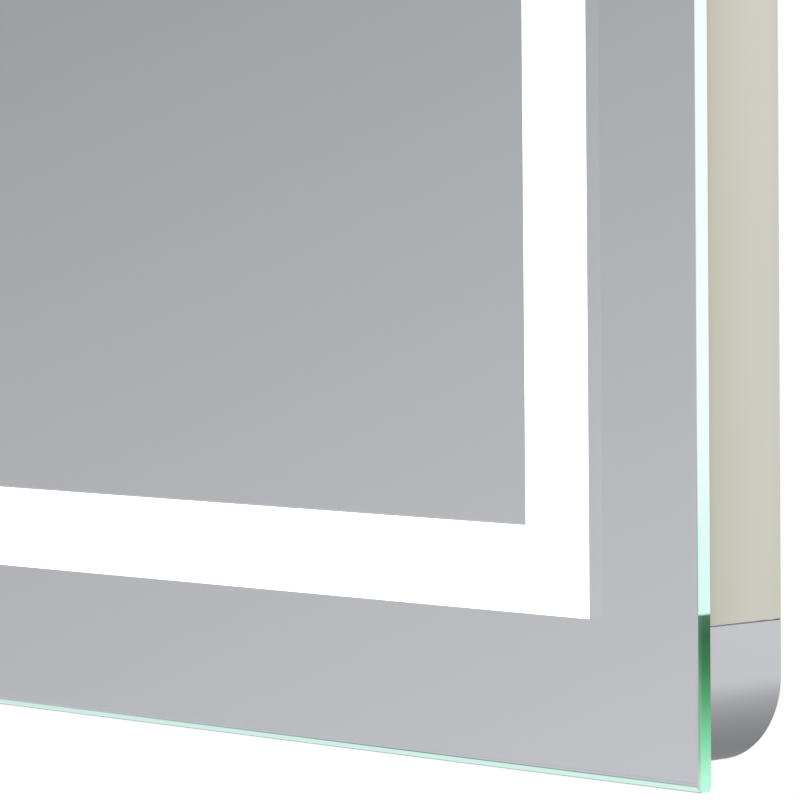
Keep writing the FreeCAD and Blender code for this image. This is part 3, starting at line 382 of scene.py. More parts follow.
def grouped(tree, group, shader, sockets, strength, height):
    """Puts a group's colour, roughness and height on a shader."""
    node = tree.nodes.new("ShaderNodeGroup")
    node.node_tree = group
    for name, value in sockets.items():
        feed(tree, node.inputs[name], value)
    tree.links.new(node.outputs["Colour"], shader.inputs["Base Color"])
    tree.links.new(node.outputs["Roughness"], shader.inputs["Roughness"])
    bump(tree, node.outputs["Height"], shader, strength, height)


GRAIN_PART = 0.4                 # how much of a surface's variation is grain, the rest being blotches
FLAKE_BEND = 2.5 * MM            # how far the outlines of zinc flakes wander
FLAKE_ROUGHNESS, FLAKE_ROUGHNESS_CHANGE = 0.34, 0.14


def make_grain_group():
    """Fine grain and soft blotches: a colour, a roughness and a height that vary over the surface."""
    tree, given, out = group_tree("surface_grain", {
        "Colour": COLOUR, "Grain size": NUMBER, "Blotch size": NUMBER, "Colour change": NUMBER,
        "Roughness": NUMBER, "Roughness change": NUMBER})
    coords = tree.nodes.new("ShaderNodeTexCoord")
    fields = []
    for size, detail in (("Grain size", 2.0), ("Blotch size", 3.0)):
        field = noise_field(tree, coords, {"Detail": detail, "Roughness": 0.55})
        tree.links.new(math_node(tree, "DIVIDE", 1 / MM, given.outputs[size]), field.inputs["Scale"])
        fields.append(field.outputs["Fac"])
    grain, blotch = fields
    both = math_node(tree, "ADD", math_node(tree, "MULTIPLY", grain, GRAIN_PART),
                     math_node(tree, "MULTIPLY", blotch, 1 - GRAIN_PART))
    swing = math_node(tree, "MULTIPLY", math_node(tree, "SUBTRACT", both, 0.5), 2.0)
    level = math_node(tree, "ADD", 1.0, math_node(tree, "MULTIPLY", swing, given.outputs["Colour change"]))
    scaled = vector_node(tree, "SCALE", {0: given.outputs["Colour"], "Scale": level})
    tree.links.new(scaled[0], out.inputs["Colour"])
    rough = math_node(tree, "ADD", given.outputs["Roughness"],
                      math_node(tree, "MULTIPLY", swing, given.outputs["Roughness change"]))
    tree.links.new(rough, out.inputs["Roughness"])
    tree.links.new(grain, out.inputs["Height"])
    return tree


def make_spangle_group():
    """Zinc crystals of a galvanised sheet: each flake has its own grey and gloss."""
    tree, given, out = group_tree("zinc_spangle", {"Flake size": NUMBER, "Dark": COLOUR, "Light": COLOUR})
    coords = tree.nodes.new("ShaderNodeTexCoord")
    bend = noise_field(tree, coords, {"Scale": 180.0, "Detail": 2.0})
    warp = vector_node(tree, "MULTIPLY_ADD", {
        0: bend.outputs["Color"], 1: (FLAKE_BEND, FLAKE_BEND, FLAKE_BEND), 2: coords.outputs["Object"]})
    flakes = tree.nodes.new("ShaderNodeTexVoronoi")
    tree.links.new(warp[0], flakes.inputs["Vector"])
    tree.links.new(math_node(tree, "DIVIDE", 1 / MM, given.outputs["Flake size"]), flakes.inputs["Scale"])
    chance = tree.nodes.new("ShaderNodeSeparateColor")
    tree.links.new(flakes.outputs["Color"], chance.inputs[0])
    grey = mix_colour(tree, chance.outputs[0], given.outputs["Dark"], given.outputs["Light"])
    tree.links.new(grey, out.inputs["Colour"])
    rough = math_node(tree, "MULTIPLY_ADD", chance.outputs[1], FLAKE_ROUGHNESS_CHANGE, FLAKE_ROUGHNESS)
    tree.links.new(rough, out.inputs["Roughness"])
    tree.links.new(flakes.outputs["Distance"], out.inputs["Height"])
    return tree


grain_group = make_grain_group()
spangle_group = make_spangle_group()


def grained(name, colour, roughness, grain_mm, blotch_mm, colour_change, roughness_change=0.06,
            height_mm=0.01, metallic=0.0):
    """A finish with fine grain: moulded plastic, powder coat, rubber, paint or plain metal.

    A list in place of the colour holds stops from the pane, at 0, to the rear edge, at 1, which paint shade
    across the depth."""
    material, tree, shader = new_material(name)
    if isinstance(colour, list):
        place = split(tree, tree.nodes.new("ShaderNodeTexCoord").outputs["Object"])
        colour = toned(tree, share(tree, place["Y"], y_seat, y_rear), colour)
    grouped(tree, grain_group, shader, {
        "Colour": colour, "Grain size": grain_mm, "Blotch size": blotch_mm, "Colour change": colour_change,
        "Roughness": roughness, "Roughness change": roughness_change}, 0.5, height_mm * MM)
    shader.inputs["Metallic"].default_value = metallic
    return material


def galvanised(name, dark, light, flake_mm):
    """A zinc sheet with flakes between two greys."""
    material, tree, shader = new_material(name)
    grouped(tree, spangle_group, shader, {"Flake size": flake_mm, "Dark": dark, "Light": light},
            0.15, 0.05 * MM)
    shader.inputs["Metallic"].default_value = 0.85
    return material


# ------------------------------------------------------------------ finishes of the pane
def glass_material():
    """Clear float glass with a faint green cast."""
    material, tree, shader = new_material("clear_glass")
    set_sockets(shader, {
        "Base Color": (0.985, 0.99, 0.988, 1), "Roughness": 0.0, "IOR": 1.52,
        "Specular Tint": (0.25, 0.25, 0.25, 1), "Transmission Weight": 1.0})
    coords = tree.nodes.new("ShaderNodeTexCoord")
    waves = noise_field(tree, coords, {"Scale": 9.0, "Detail": 1.0})
    bump(tree, waves.outputs["Fac"], shader, 0.02, 0.05 * MM)
    return material


def silver_material():
    """Silver coat towards the glass, grey paint with safety film towards the wall."""
    material, tree, shader = new_material("silver_coat")
    coords = tree.nodes.new("ShaderNodeTexCoord")
    front = math_node(tree, "LESS_THAN", split(tree, coords.outputs["Normal"])["Y"], -0.5)
    tone = noise_field(tree, coords, {"Scale": 2.2, "Detail": 2.0})
    silver = mix_colour(tree, tone.outputs["Fac"], (0.925, 0.935, 0.94, 1), (0.955, 0.96, 0.96, 1))
    tree.links.new(mix_colour(tree, front, srgb(128, 132, 134), silver), shader.inputs["Base Color"])
    tree.links.new(front, shader.inputs["Metallic"])
    tree.links.new(math_node(tree, "MULTIPLY_ADD", front, -0.55, 0.55), shader.inputs["Roughness"])
    return material


def frosted_material():
    """Sandblasted glass lit from behind by the diffuser."""
    material, tree, shader = new_material("lit_frosting")
    coords = tree.nodes.new("ShaderNodeTexCoord")
    frost = noise_field(tree, coords, {"Scale": 2500.0, "Detail": 2.0})
    glow = mix_colour(tree, frost.outputs["Fac"], (0.975, 0.99, 1.0, 1), (1.0, 1.0, 1.0, 1))
    tree.links.new(glow, shader.inputs["Emission Color"])
    set_sockets(shader, {"Emission Strength": 1.3, "Base Color": (0.8, 0.8, 0.8, 1), "Roughness": 0.8})
    return material


# ------------------------------------------------------------------ painted light of the pane's edge, in millimetres
GLOW_START = BAND_BORDER / MM + 4.3    # from a side's end: painted dark green shade before it, painted glow after it
GLOW_EDGE = (GLOW_START - 0.35, GLOW_START + 0.25)
GLOW_FULL = 80.0                       # length over which the painted glow grows
GREEN_WOBBLE = 1.2                     # unevenness of the painted green shade along a side
DULL_ENDS = (GLOW_START + 50, GLOW_START + 18)    # where the tall arris's painted glow turns a little darker, as painted shade
DULLNESS = 0.07
TALL_FADE = 240.0                      # length over which the tall sides' painted mirror grey changes
GREY_STEP = (0.63, 0.74)               # across the edge, from the tall arris to the painted grey
SOFT_GREY_STEP = (0.10, 1.2)           # the same near the ends
SOFT_ENDS = (38, 22)                   # where the one turns into the other
# painted dark lines: place and half widths across the edge, where each fades out and in, strength, colour
TALL_LINES = (
    (0.76, 0.16, 0.05, (105, 62), (GLOW_START - 0.5, GLOW_START + 0.5), 0.85, srgb(146, 164, 162)),
    (0.58, 0.42, 0.08, (34, 22), (3, 10), 0.42, srgb(112, 146, 136)))
WIDE_FADE = 300.0                      # length over which the short sides' painted tones change
WIDE_INNER_LINE = (1.56, 1.68)         # across the edge, from the pane's outline
WIDE_OUTER_LINE = (0.46, 0.62)         # across the arris, from the pane's front
BACK_PAINTED_SHADE = 0.22
INNER_WALL = RIM_WIDTH / MM - 0.02     # from the pane's outline
LEAN = 0.3                             # a normal with more than this along Y is on the front or the back


def in_millimetres(tree, value):
    """A length in metres as millimetres."""
    return math_node(tree, "MULTIPLY", value, 1 / MM)


def off_from(tree, value, place):
    """How far a value is from a place, on either side of it."""
    return math_node(tree, "ABSOLUTE", math_node(tree, "SUBTRACT", value, place))


def from_end(tree, coordinate, middle, half):
    """Millimetres from the nearer end of a side."""
    return in_millimetres(tree, math_node(tree, "SUBTRACT", half, off_from(tree, coordinate, middle)))


def side_painted_light(tree, coords, along):
    """The edge from the side, as painted light: glowing beside the light band, painted dark green shade past
    it, lighter towards the end.
    """
    wobble = noise_field(tree, coords, {"Scale": 260.0, "Detail": 3.0})
    uneven = math_node(tree, "MULTIPLY", math_node(tree, "SUBTRACT", wobble.outputs["Fac"], 0.5),
                       GREEN_WOBBLE)
    green = toned(tree, fraction(tree, math_node(tree, "ADD", along, uneven), GLOW_START), [
        (0.0, srgb(192, 254, 232)), (0.08, srgb(182, 254, 218)), (0.27, srgb(131, 222, 172)),
        (0.52, srgb(84, 168, 112)), (0.70, srgb(57, 128, 80)), (0.88, srgb(48, 103, 67)),
        (1.0, srgb(70, 116, 94))])
    glow = toned(tree, fraction(tree, math_node(tree, "SUBTRACT", along, GLOW_START), GLOW_FULL), [
        (0.0, srgb(220, 254, 248)), (0.25, srgb(223, 254, 250)), (0.60, srgb(243, 255, 255)),
        (1.0, srgb(246, 255, 255))])
    return mix_colour(tree, share(tree, along, *GLOW_EDGE), green, glow)


def tall_front_painted_light(tree, side, along, along_tall, along_wide):
    """The tall sides' front, as painted light: the edge's glow, then a painted reflection of the mirror's
    grey inwards, softly blended near the ends, with painted dark lines.
    """
    duller = math_node(tree, "MULTIPLY", share(tree, along, *DULL_ENDS), DULLNESS)
    arris = mix_colour(tree, duller, side, srgb(188, 232, 214))
    # painted reflection: the grey the mirror shows beside the edge, changing along the side
    grey = toned(tree, fraction(tree, along_tall, TALL_FADE), [
        (0.0, srgb(191, 193, 197)), (0.25, srgb(188, 190, 194)), (0.56, srgb(179, 182, 186)),
        (0.9, srgb(168, 171, 175)), (1.0, srgb(166, 169, 173))])
    inwards = mix_value(tree, share(tree, along_tall, *SOFT_ENDS), share(tree, along_wide, *GREY_STEP),
                        share(tree, along_wide, *SOFT_GREY_STEP))
    tone = mix_colour(tree, inwards, arris, grey)
    for place, outer, inner, fade_out, fade_in, strength, colour in TALL_LINES:
        line = share(tree, off_from(tree, along_wide, place), outer, inner)
        stretch = math_node(tree, "MULTIPLY", share(tree, along_tall, *fade_out),
                            share(tree, along_tall, *fade_in))
        dark = math_node(tree, "MULTIPLY", math_node(tree, "MULTIPLY", line, stretch), strength)
        tone = mix_colour(tree, dark, tone, colour)
    return tone


def wide_front_painted_light(tree, along_tall, along_wide, depth):
    """The short sides' front, as painted light: a pale aqua glow between two thin painted dark lines."""
    part = fraction(tree, along_wide, WIDE_FADE)
    aqua = toned(tree, part, [(0.0, srgb(213, 246, 236)), (1.0, srgb(208, 238, 230))])
    inner_line = toned(tree, part, [
        (0.0, srgb(160, 180, 175)), (0.13, srgb(138, 165, 158)), (0.4, srgb(115, 146, 138)),
        (0.85, srgb(170, 188, 184)), (1.0, srgb(178, 192, 189))])
    tone = mix_colour(tree, share(tree, along_tall, *WIDE_INNER_LINE), aqua, inner_line)
    return mix_colour(tree, share(tree, depth, *WIDE_OUTER_LINE), tone, srgb(160, 176, 171))


def rim_painted_light_material():
    """The pane's polished edge, with the light that leaves it painted on as emission: glow, shade and the
    mirror's grey.
    """
    material, tree, shader = new_material("edge_painted_light")
    coords = tree.nodes.new("ShaderNodeTexCoord")
    place = split(tree, coords.outputs["Object"])
    facing = split(tree, coords.outputs["Normal"])["Y"]
    along_tall = from_end(tree, place["Z"], middle_z, half_tall)
    along_wide = from_end(tree, place["X"], middle_x, half_wide)
    depth = in_millimetres(tree, math_node(tree, "SUBTRACT", place["Y"], y_front))
    tall = math_node(tree, "LESS_THAN", along_wide, along_tall)
    along = mix_value(tree, tall, along_wide, along_tall)

    side = side_painted_light(tree, coords, along)
    fronts = mix_colour(tree, tall, wide_front_painted_light(tree, along_tall, along_wide, depth),
                        tall_front_painted_light(tree, side, along, along_tall, along_wide))
    painted = mix_colour(tree, math_node(tree, "LESS_THAN", facing, -LEAN), side, fronts)
    # painted shade: the rear faces a little darker green
    back = math_node(tree, "GREATER_THAN", facing, LEAN)
    painted = mix_colour(tree, math_node(tree, "MULTIPLY", back, BACK_PAINTED_SHADE), painted, srgb(60, 96, 80))
    # the ring's inner wall, seen through the pane, is painted with the mirror's grey: a painted reflection
    inner = math_node(tree, "GREATER_THAN", math_node(tree, "MINIMUM", along_wide, along_tall), INNER_WALL)
    wall = math_node(tree, "LESS_THAN", math_node(tree, "ABSOLUTE", facing), LEAN)
    wall_painted_reflection = toned(tree, fraction(tree, along_wide, WIDE_FADE), [
        (0.0, srgb(167, 169, 173)), (0.5, srgb(165, 167, 171)), (1.0, srgb(156, 159, 163))])
    painted = mix_colour(tree, math_node(tree, "MULTIPLY", inner, wall), painted, wall_painted_reflection)
    tree.links.new(painted, shader.inputs["Emission Color"])
    set_sockets(shader, {
        "Emission Strength": 0.98, "Base Color": (0.004, 0.006, 0.005, 1), "Roughness": 0.1,
        "Specular IOR Level": 0.05})
    return material


# ------------------------------------------------------------------ all finishes
clear_glass = glass_material()
silver_coat = silver_material()
lit_frosting = frosted_material()
edge_painted_light = rim_painted_light_material()
# roughness, sizes of grain and blotches in millimetres, change of colour and of roughness, grain's height
# the cream's stops are painted shade: darker beside the pane's overhang, a little darker again at the rear
# edge
cream_coat = grained("cream_coat", [
    (0.0, srgb(191, 190, 175)), (0.15, srgb(199, 197, 182)), (0.60, srgb(207, 205, 193)),
    (0.86, srgb(208, 206, 194)), (1.0, srgb(205, 203, 190))], 0.42, 0.35, 90.0, 0.02, 0.05, 0.006)
silver_moulding = grained("silver_moulding", srgb(211, 212, 216), 0.30, 0.25, 50.0, 0.03, 0.05, 0.004,
                          metallic=0.78)
foam_white = grained("foam_white", srgb(226, 226, 220), 0.9, 0.8, 20.0, 0.06, 0.03, 0.08)
channel_white = grained("channel_white", srgb(232, 232, 228), 0.45, 0.6, 80.0, 0.02)
diffuser_opal = grained("diffuser_opal", srgb(240, 240, 238), 0.35, 0.3, 60.0, 0.015)
board_white = grained("board_white", srgb(233, 235, 230), 0.4, 0.3, 30.0, 0.02)
chip_yellow = grained("chip_yellow", srgb(240, 214, 96), 0.35, 0.2, 4.0, 0.05)
zinc_sheet = galvanised("zinc_sheet", srgb(184, 187, 189), srgb(203, 205, 206), 6.0)
plated_rail = grained("plated_rail", srgb(198, 201, 205), 0.33, 0.3, 25.0, 0.05, 0.07, 0.01, metallic=0.9)
zinc_screw = grained("zinc_screw", srgb(205, 208, 212), 0.28, 0.4, 3.0, 0.08, 0.08, 0.005, metallic=1.0)
rivet_metal = grained("rivet_metal", srgb(214, 216, 218), 0.34, 0.5, 4.0, 0.06, 0.08, 0.006, metallic=1.0)
black_rubber = grained("black_rubber", srgb(34, 34, 35), 0.72, 0.35, 12.0, 0.18, 0.06, 0.03)
driver_white = grained("driver_white", srgb(228, 229, 227), 0.5, 0.4, 50.0, 0.03, 0.05, 0.015)
circuit_green = grained("circuit_green", srgb(22, 96, 52), 0.35, 0.5, 10.0, 0.15)
box_black = grained("box_black", srgb(44, 45, 47), 0.48, 0.3, 40.0, 0.10, 0.07, 0.02)
terminal_ivory = grained("terminal_ivory", srgb(232, 228, 214), 0.4, 0.4, 20.0, 0.03)
terminal_brass = grained("terminal_brass", srgb(212, 182, 108), 0.3, 0.4, 3.0, 0.08, metallic=1.0)
sheath_black = grained("sheath_black", srgb(38, 38, 40), 0.5, 0.4, 20.0, 0.10)
sheath_white = grained("sheath_white", srgb(228, 228, 224), 0.45, 0.4, 20.0, 0.04)
clip_natural = grained("clip_natural", srgb(234, 233, 228), 0.4, 0.4, 20.0, 0.03)

# ------------------------------------------------------------------ pane
# the ring's inner wall stands inside the clear glass, so no second surface shows beside it
finish_piece("pane_glass", plate_block(RIM_WIDTH - RIM_OVERLAP, y_front + 0.5 * AIR, y_back - AIR),
             clear_glass, stands_for=("mirror_glass",))

# the pane's edge ring, whose glow, shade and mirror grey are painted
rim = plate_block(0.0, y_front, y_back)
bmesh.ops.bevel(rim, geom=rim.edges[:], offset=ARRIS, offset_type="OFFSET", segments=1, profile=0.5,
                affect="EDGES", material=-1)
# the arris has already taken its part of the ring's width
finish_piece("pane_rim", pierced(rim, RIM_WIDTH - ARRIS), edge_painted_light,
             stands_for=("mirror_glass",))

band = plate_block(BAND_BORDER, y_back + AIR, y_seat - AIR)
finish_piece("lit_band", pierced(band, BAND_WIDTH), lit_frosting)


# ------------------------------------------------------------------ housing
def cut_end(bm, z_end, up, y0, y1):
    """Gives a sawn rail end its length and its slightly uneven line, with a burr near the rear."""
    for vert in bm.verts:
        if abs(vert.co.z - z_end) < WELD:
            t = (vert.co.y - y0) / (y1 - y0)
            wave = noise.noise(Vector((t * SAWN_WAVES, 3.1, up * 2.0))) * SAWN_WAVE
            burr = sum(height * math.exp(-((t - place) / width) ** 2) for height, place, width in SAWN_BURRS)
            vert.co.z += up * (wave + burr - RAIL_LONG)


def rail_piece(node):
    """A cream side rail from the frame's solid. The tall ones show their sawn ends."""
    bm = welded(node)
    low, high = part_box(node)
    if high.z - low.z > high.x - low.x:
        for z in (low.z + SAWN_LENGTH, high.z - SAWN_LENGTH):
            slice_at(bm, (0, 0, z), (0, 0, 1))
        for i in range(1, RAIL_SLICES):
            slice_at(bm, (0, low.y + (high.y - low.y) * i / RAIL_SLICES, 0), (0, 1, 0))
        cleaned(bm)
        cut_end(bm, low.z, 1, low.y, high.y)
        cut_end(bm, high.z, -1, low.y, high.y)
    finish_piece(node.replace("profile", "rail"), bm, cream_coat, stands_for=(node,),
                 smooth_angle=25)


for rail_side in SIDES:
    rail_piece("profile_" + rail_side)


def moulding(node):
    """A corner moulding that meets the tall rail, with a dark groove round its shoulder."""
    bm = welded(node)
    low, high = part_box(node)
    rail_low, rail_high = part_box("profile_right")
    rail_end, up = (rail_low.z, 1) if "bottom" in node else (rail_high.z, -1)
    face = high.x if "right" in node else low.x
    shoulder = rail_end - up * SEAM_GAP
    for vert in bm.verts:
        if abs(vert.co.z - shoulder) < 2 * WELD:
            vert.co.z = rail_end - up * (RAIL_LONG + SEAM_CLOSE)
    y0, y1 = low.y - GROOVE_FRONT, high.y - GROOVE_REAR
    groove = block((2 * GROOVE_DEPTH, y1 - y0, SEAM_GAP + GROOVE_DROP),
                   (face, (y0 + y1) / 2, shoulder + up * (SEAM_GAP - GROOVE_DROP) / 2))
    return carved(bm, groove)


for corner in ("bottom_right", "bottom_left", "top_right", "top_left"):
    corner_node = "corner_" + corner
    finish_piece("moulding_" + corner, moulding(corner_node), silver_moulding,
                 stands_for=(corner_node,), smooth_angle=25)


# ------------------------------------------------------------------ back plate, rails, box and driver case
def bead_crest(edge):
    """True for the edges that run round the top of a pressed bead."""
    return all(vert.co.y > y_plate + BEAD_CREST for vert in edge.verts)


finish_piece("rear_plate", softened("back_plate", 0.5 * MM, chosen=bead_crest), zinc_sheet,
             stands_for=("back_plate",), smooth_angle=25)

# name, node, edge rounding in millimetres, angle from which an edge is rounded, finish, slot, body
for name, node, rounding, sharp, material, slot, body in (
        ("hook_rail", "wall_rail", 0.14, 50, plated_rail, "galvanised", "wall_mount"),
        ("hanger", "hanger_rail", 0.14, 50, plated_rail, "galvanised", "mirror"),
        ("wiring_box", "junction_box", 0.25, 50, box_black, "box_plastic", "mirror"),
        ("wiring_lid", "junction_lid", 0.35, 40, box_black, "box_plastic", "mirror"),
        ("power_case", "driver_case", 0.25, 40, driver_white, "driver_plastic", "mirror"),
        ("power_lid", "driver_lid", 0.35, 40, driver_white, "driver_plastic", "mirror")):
    finish_piece(name, softened(node, rounding * MM, sharp), material, stands_for=(node,), body=body,
                 smooth_angle=30)

# ------------------------------------------------------------------ fasteners, bumpers and grommet
HEAD_HIGH = 2.2                  # a pan head, in millimetres like the four sizes of the thread
THREAD_CORE, THREAD_CREST = 1.25, 1.55    # radii
THREAD_FIRST, THREAD_PITCH = 2.5, 0.9    # the first root below the head's top, and from root to root
TIP_PLAIN = 0.5                  # the least plain end of a screw, in millimetres
RECESS = (1.25, 0.30)            # length and width of a cross recess, in radii of the head
RECESS_DEEP = 1.2 * MM
RECESS_FOOT = (0.6, 0.5, 1.0)    # the recess's foot as parts of its mouth
FIRST_TURN, NEXT_TURN = 0.7, 1.9    # turn of the first of a set and from each to the next, in radians


def pan_screw(radius, length):
    """A pan-head screw along Z, its head's top at the origin and its thread down to the tip."""
    r, tip = radius / MM, length / MM
    profile = [(0, 0), (0.45 * r, -0.04), (0.75 * r, -0.26), (0.92 * r, -0.70), (r, -1.35), (r, -2.0),
               (0.97 * r, -HEAD_HIGH), (THREAD_CREST, -HEAD_HIGH)]
    at = THREAD_FIRST
    while at + THREAD_PITCH < tip - TIP_PLAIN:
        profile += [(THREAD_CORE, -at), (THREAD_CREST, -at - THREAD_PITCH / 2)]
        at += THREAD_PITCH
    profile += [(THREAD_CORE, -at), (0.0, -tip)]
    screw = turned(profile)
    for turn in (0.0, math.pi / 2):
        bar = block((1, 1, 1), (0, 0, 0))
        bmesh.ops.scale(bar, vec=RECESS_FOOT, verts=[vert for vert in bar.verts if vert.co.z < 0])
        size = Matrix.Diagonal((RECESS[0] * radius, RECESS[1] * radius, 2 * RECESS_DEEP, 1.0))
        bmesh.ops.transform(bar, matrix=Matrix.Rotation(turn, 4, "Z") @ size, verts=bar.verts)
        screw = carved(screw, bar)
    return screw


def blind_rivet(radius, length):
    """A blind rivet along Z: domed head with the snapped pin in it, and a swelled end."""
    r, tip = radius / MM, length / MM
    return turned([
        (0, -0.45), (0.85, -0.45), (1.0, -0.12), (1.3, 0), (0.6 * r, -0.12), (0.85 * r, -0.50), (r, -1.0),
        (r, -1.2), (2.0, -1.2), (2.0, 1.2 - tip), (2.7, 1.0 - tip), (2.8, 0.5 - tip), (2.1, 0.05 - tip),
        (1.2, -tip), (0.95, 0.3 - tip), (0, 0.3 - tip)])


def bumper(radius, length):
    """A rubber button along Z with its flat face at the origin and a barbed stem."""
    r, tip = radius / MM, length / MM
    return turned([
        (0, -0.15), (0.8, -0.15), (1.0, 0), (0.77 * r, 0), (0.90 * r, -0.12), (0.98 * r, -0.45), (r, -0.9),
        (r, -1.6), (0.97 * r, -2.0), (2.4, -2.0), (2.2, -2.6), (2.5, -3.4), (2.1, -3.7), (2.5, -4.9),
        (2.1, -5.2), (2.5, -6.3), (1.5, -tip), (0, -tip)], 40)


def fastener_set(name, node, make, material):
    """One piece with a fastener at each solid of a node, each turned by an angle of its own."""
    spots = islands(node)
    low, high = spots[0]
    first = make((high.x - low.x) / 2, high.y - low.y)
    to_wall = Matrix.Rotation(-math.pi / 2, 4, "X")
    parts = []
    for i, (low, high) in enumerate(spots):
        each = first.copy()
        place = Matrix.Translation(((low.x + high.x) / 2, high.y, (low.z + high.z) / 2))
        turn = Matrix.Rotation(FIRST_TURN + NEXT_TURN * i, 4, "Z")
        bmesh.ops.transform(each, matrix=place @ to_wall @ turn, verts=each.verts)
        parts.append(each)
    first.free()
    finish_piece(name, joined(parts), material, stands_for=(node,), smooth_angle=35)


for name, node in (("plate_screws", "back_plate_screws"), ("power_screws", "driver_screws"),
                   ("lid_screws", "junction_lid_screws"), ("box_screws", "junction_box_screws"),
                   ("clamp_screws", "cord_clamp_screws")):
    fastener_set(name, node, pan_screw, zinc_screw)
fastener_set("rail_rivets", "hanger_rivets", blind_rivet, rivet_metal)
fastener_set("wall_buttons", "wall_bumpers", bumper, black_rubber)

grommet_low, grommet_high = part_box("cable_grommet")
grommet = turned([
    (3.0, 0.35), (3.2, 0.08), (3.5, 0), (3.95, 0.1), (4.2, 0.4), (4.2, 1.1), (4.05, 1.45), (3.7, 1.45),
    (3.7, 3.35), (4.05, 3.35), (4.2, 3.7), (4.2, 4.4), (3.95, 4.7), (3.5, 4.8), (3.2, 4.72), (3.0, 4.45)], 40)
grommet_foot = ((grommet_low.x + grommet_high.x) / 2, (grommet_low.y + grommet_high.y) / 2, grommet_low.z)
bmesh.ops.transform(grommet, matrix=Matrix.Translation(grommet_foot), verts=grommet.verts)
finish_piece("entry_grommet", grommet, black_rubber, stands_for=("cable_grommet",),
             smooth_angle=40)


# ------------------------------------------------------------------ leads
def lead(name, node, routes, radius, material):
    """Round leads on smooth lines. Radius and routes are in millimetres."""
    data = bpy.data.curves.new(name, "CURVE")
    data.dimensions = "3D"
    data.bevel_depth = radius * MM
    data.bevel_resolution = 3
    data.resolution_u = 8
    data.use_fill_caps = True
    for route in routes:
        spline = data.splines.new("NURBS")
        spline.points.add(len(route) - 1)
        for point, (x, y, z) in zip(spline.points, route):
            point.co = (x * MM, y * MM, z * MM, 1.0)
        spline.order_u = 3
        spline.use_endpoint_u = True
    data.materials.append(material)
    piece = shown(name, data)
    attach(piece, "mirror")
    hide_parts(node)


lead("supply_lead", "mains_lead", [[
    (-1, -9.9, -216), (-1, -9.9, -224), (7, -9.9, -224), (22, -9.9, -224), (34, -9.9, -224),
    (34, -21.7, -224), (39.3, -21.7, -234.6), (58, -21.7, -272), (69, -21.7, -332), (51, -21.7, -350),
    (31, -21.7, -350)]],
    1.3, sheath_black)
lead("light_lead", "led_lead", [[
    (-111, -21.7, -350), (-137, -21.7, -350), (-155, -21.7, -394), (-95, -21.7, -424), (-85.6, -21.7, -424),
    (5.6, -21.7, -424), (133, -21.7, -424), (183, -23.4, -350), (232.8, -23.4, -350)]],
    1.3, sheath_white)
lead("jumper_leads", "corner_jumpers", [
    [(220, -21.7, -653), (243, -21.7, -653), (243, -21.7, -630)],
    [(-220, -21.7, -653), (-243, -21.7, -653), (-243, -21.7, -630)],
    [(220, -21.7, 33), (243, -21.7, 33), (243, -21.7, 10)]],
    0.8, sheath_white)


# ------------------------------------------------------------------ frame nodes that keep their shape
def dress(material, *names):
    """Gives frame nodes their finish."""
    for name in names:
        materials = nodes[name].data.materials
        materials.clear()
        materials.append(material)


dress(silver_coat, "silver_backing")
dress(foam_white, "frame_tape", "channel_tape")
for side in SIDES:
    dress(channel_white, "light_channel_" + side)
    dress(diffuser_opal, "diffuser_" + side)
    dress(board_white, "led_board_" + side)
dress(chip_yellow, "led_chips")
dress(zinc_screw, "earth_screw")
dress(black_rubber, "lead_grommet")
dress(circuit_green, "driver_board")
dress(box_black, "cord_clamp")
dress(terminal_ivory, "terminal_block")
dress(terminal_brass, "terminal_screws")
dress(clip_natural, "wire_clips")

# ------------------------------------------------------------------ world, floor and lamp
ROOM_TINT = (1.10, 1.11, 1.165)      # what the mirror needs to show as a cool grey after the glass
ROOM_ACROSS = (0.6835, -0.7300, 0.0)    # horizontal direction in which the mirrored room grows lighter
ROOM_LEVEL = 0.395                   # its grey in the middle
ROOM_CHANGE_ACROSS = 0.375           # what it gains straight to that side
ROOM_CHANGE_UP = -0.835              # what it gains straight up
ROOM_DARKEST, ROOM_LIGHTEST = 0.30, 0.56
ROOM_BLEND = 0.25                    # how far on both sides of the wall's plane its two halves mix
FLOOR_RADIUS = 2.6
FLOOR_DROP = 0.5                     # below the pane's lower edge
WHITE = (1.0, 1.0, 1.0, 1.0)


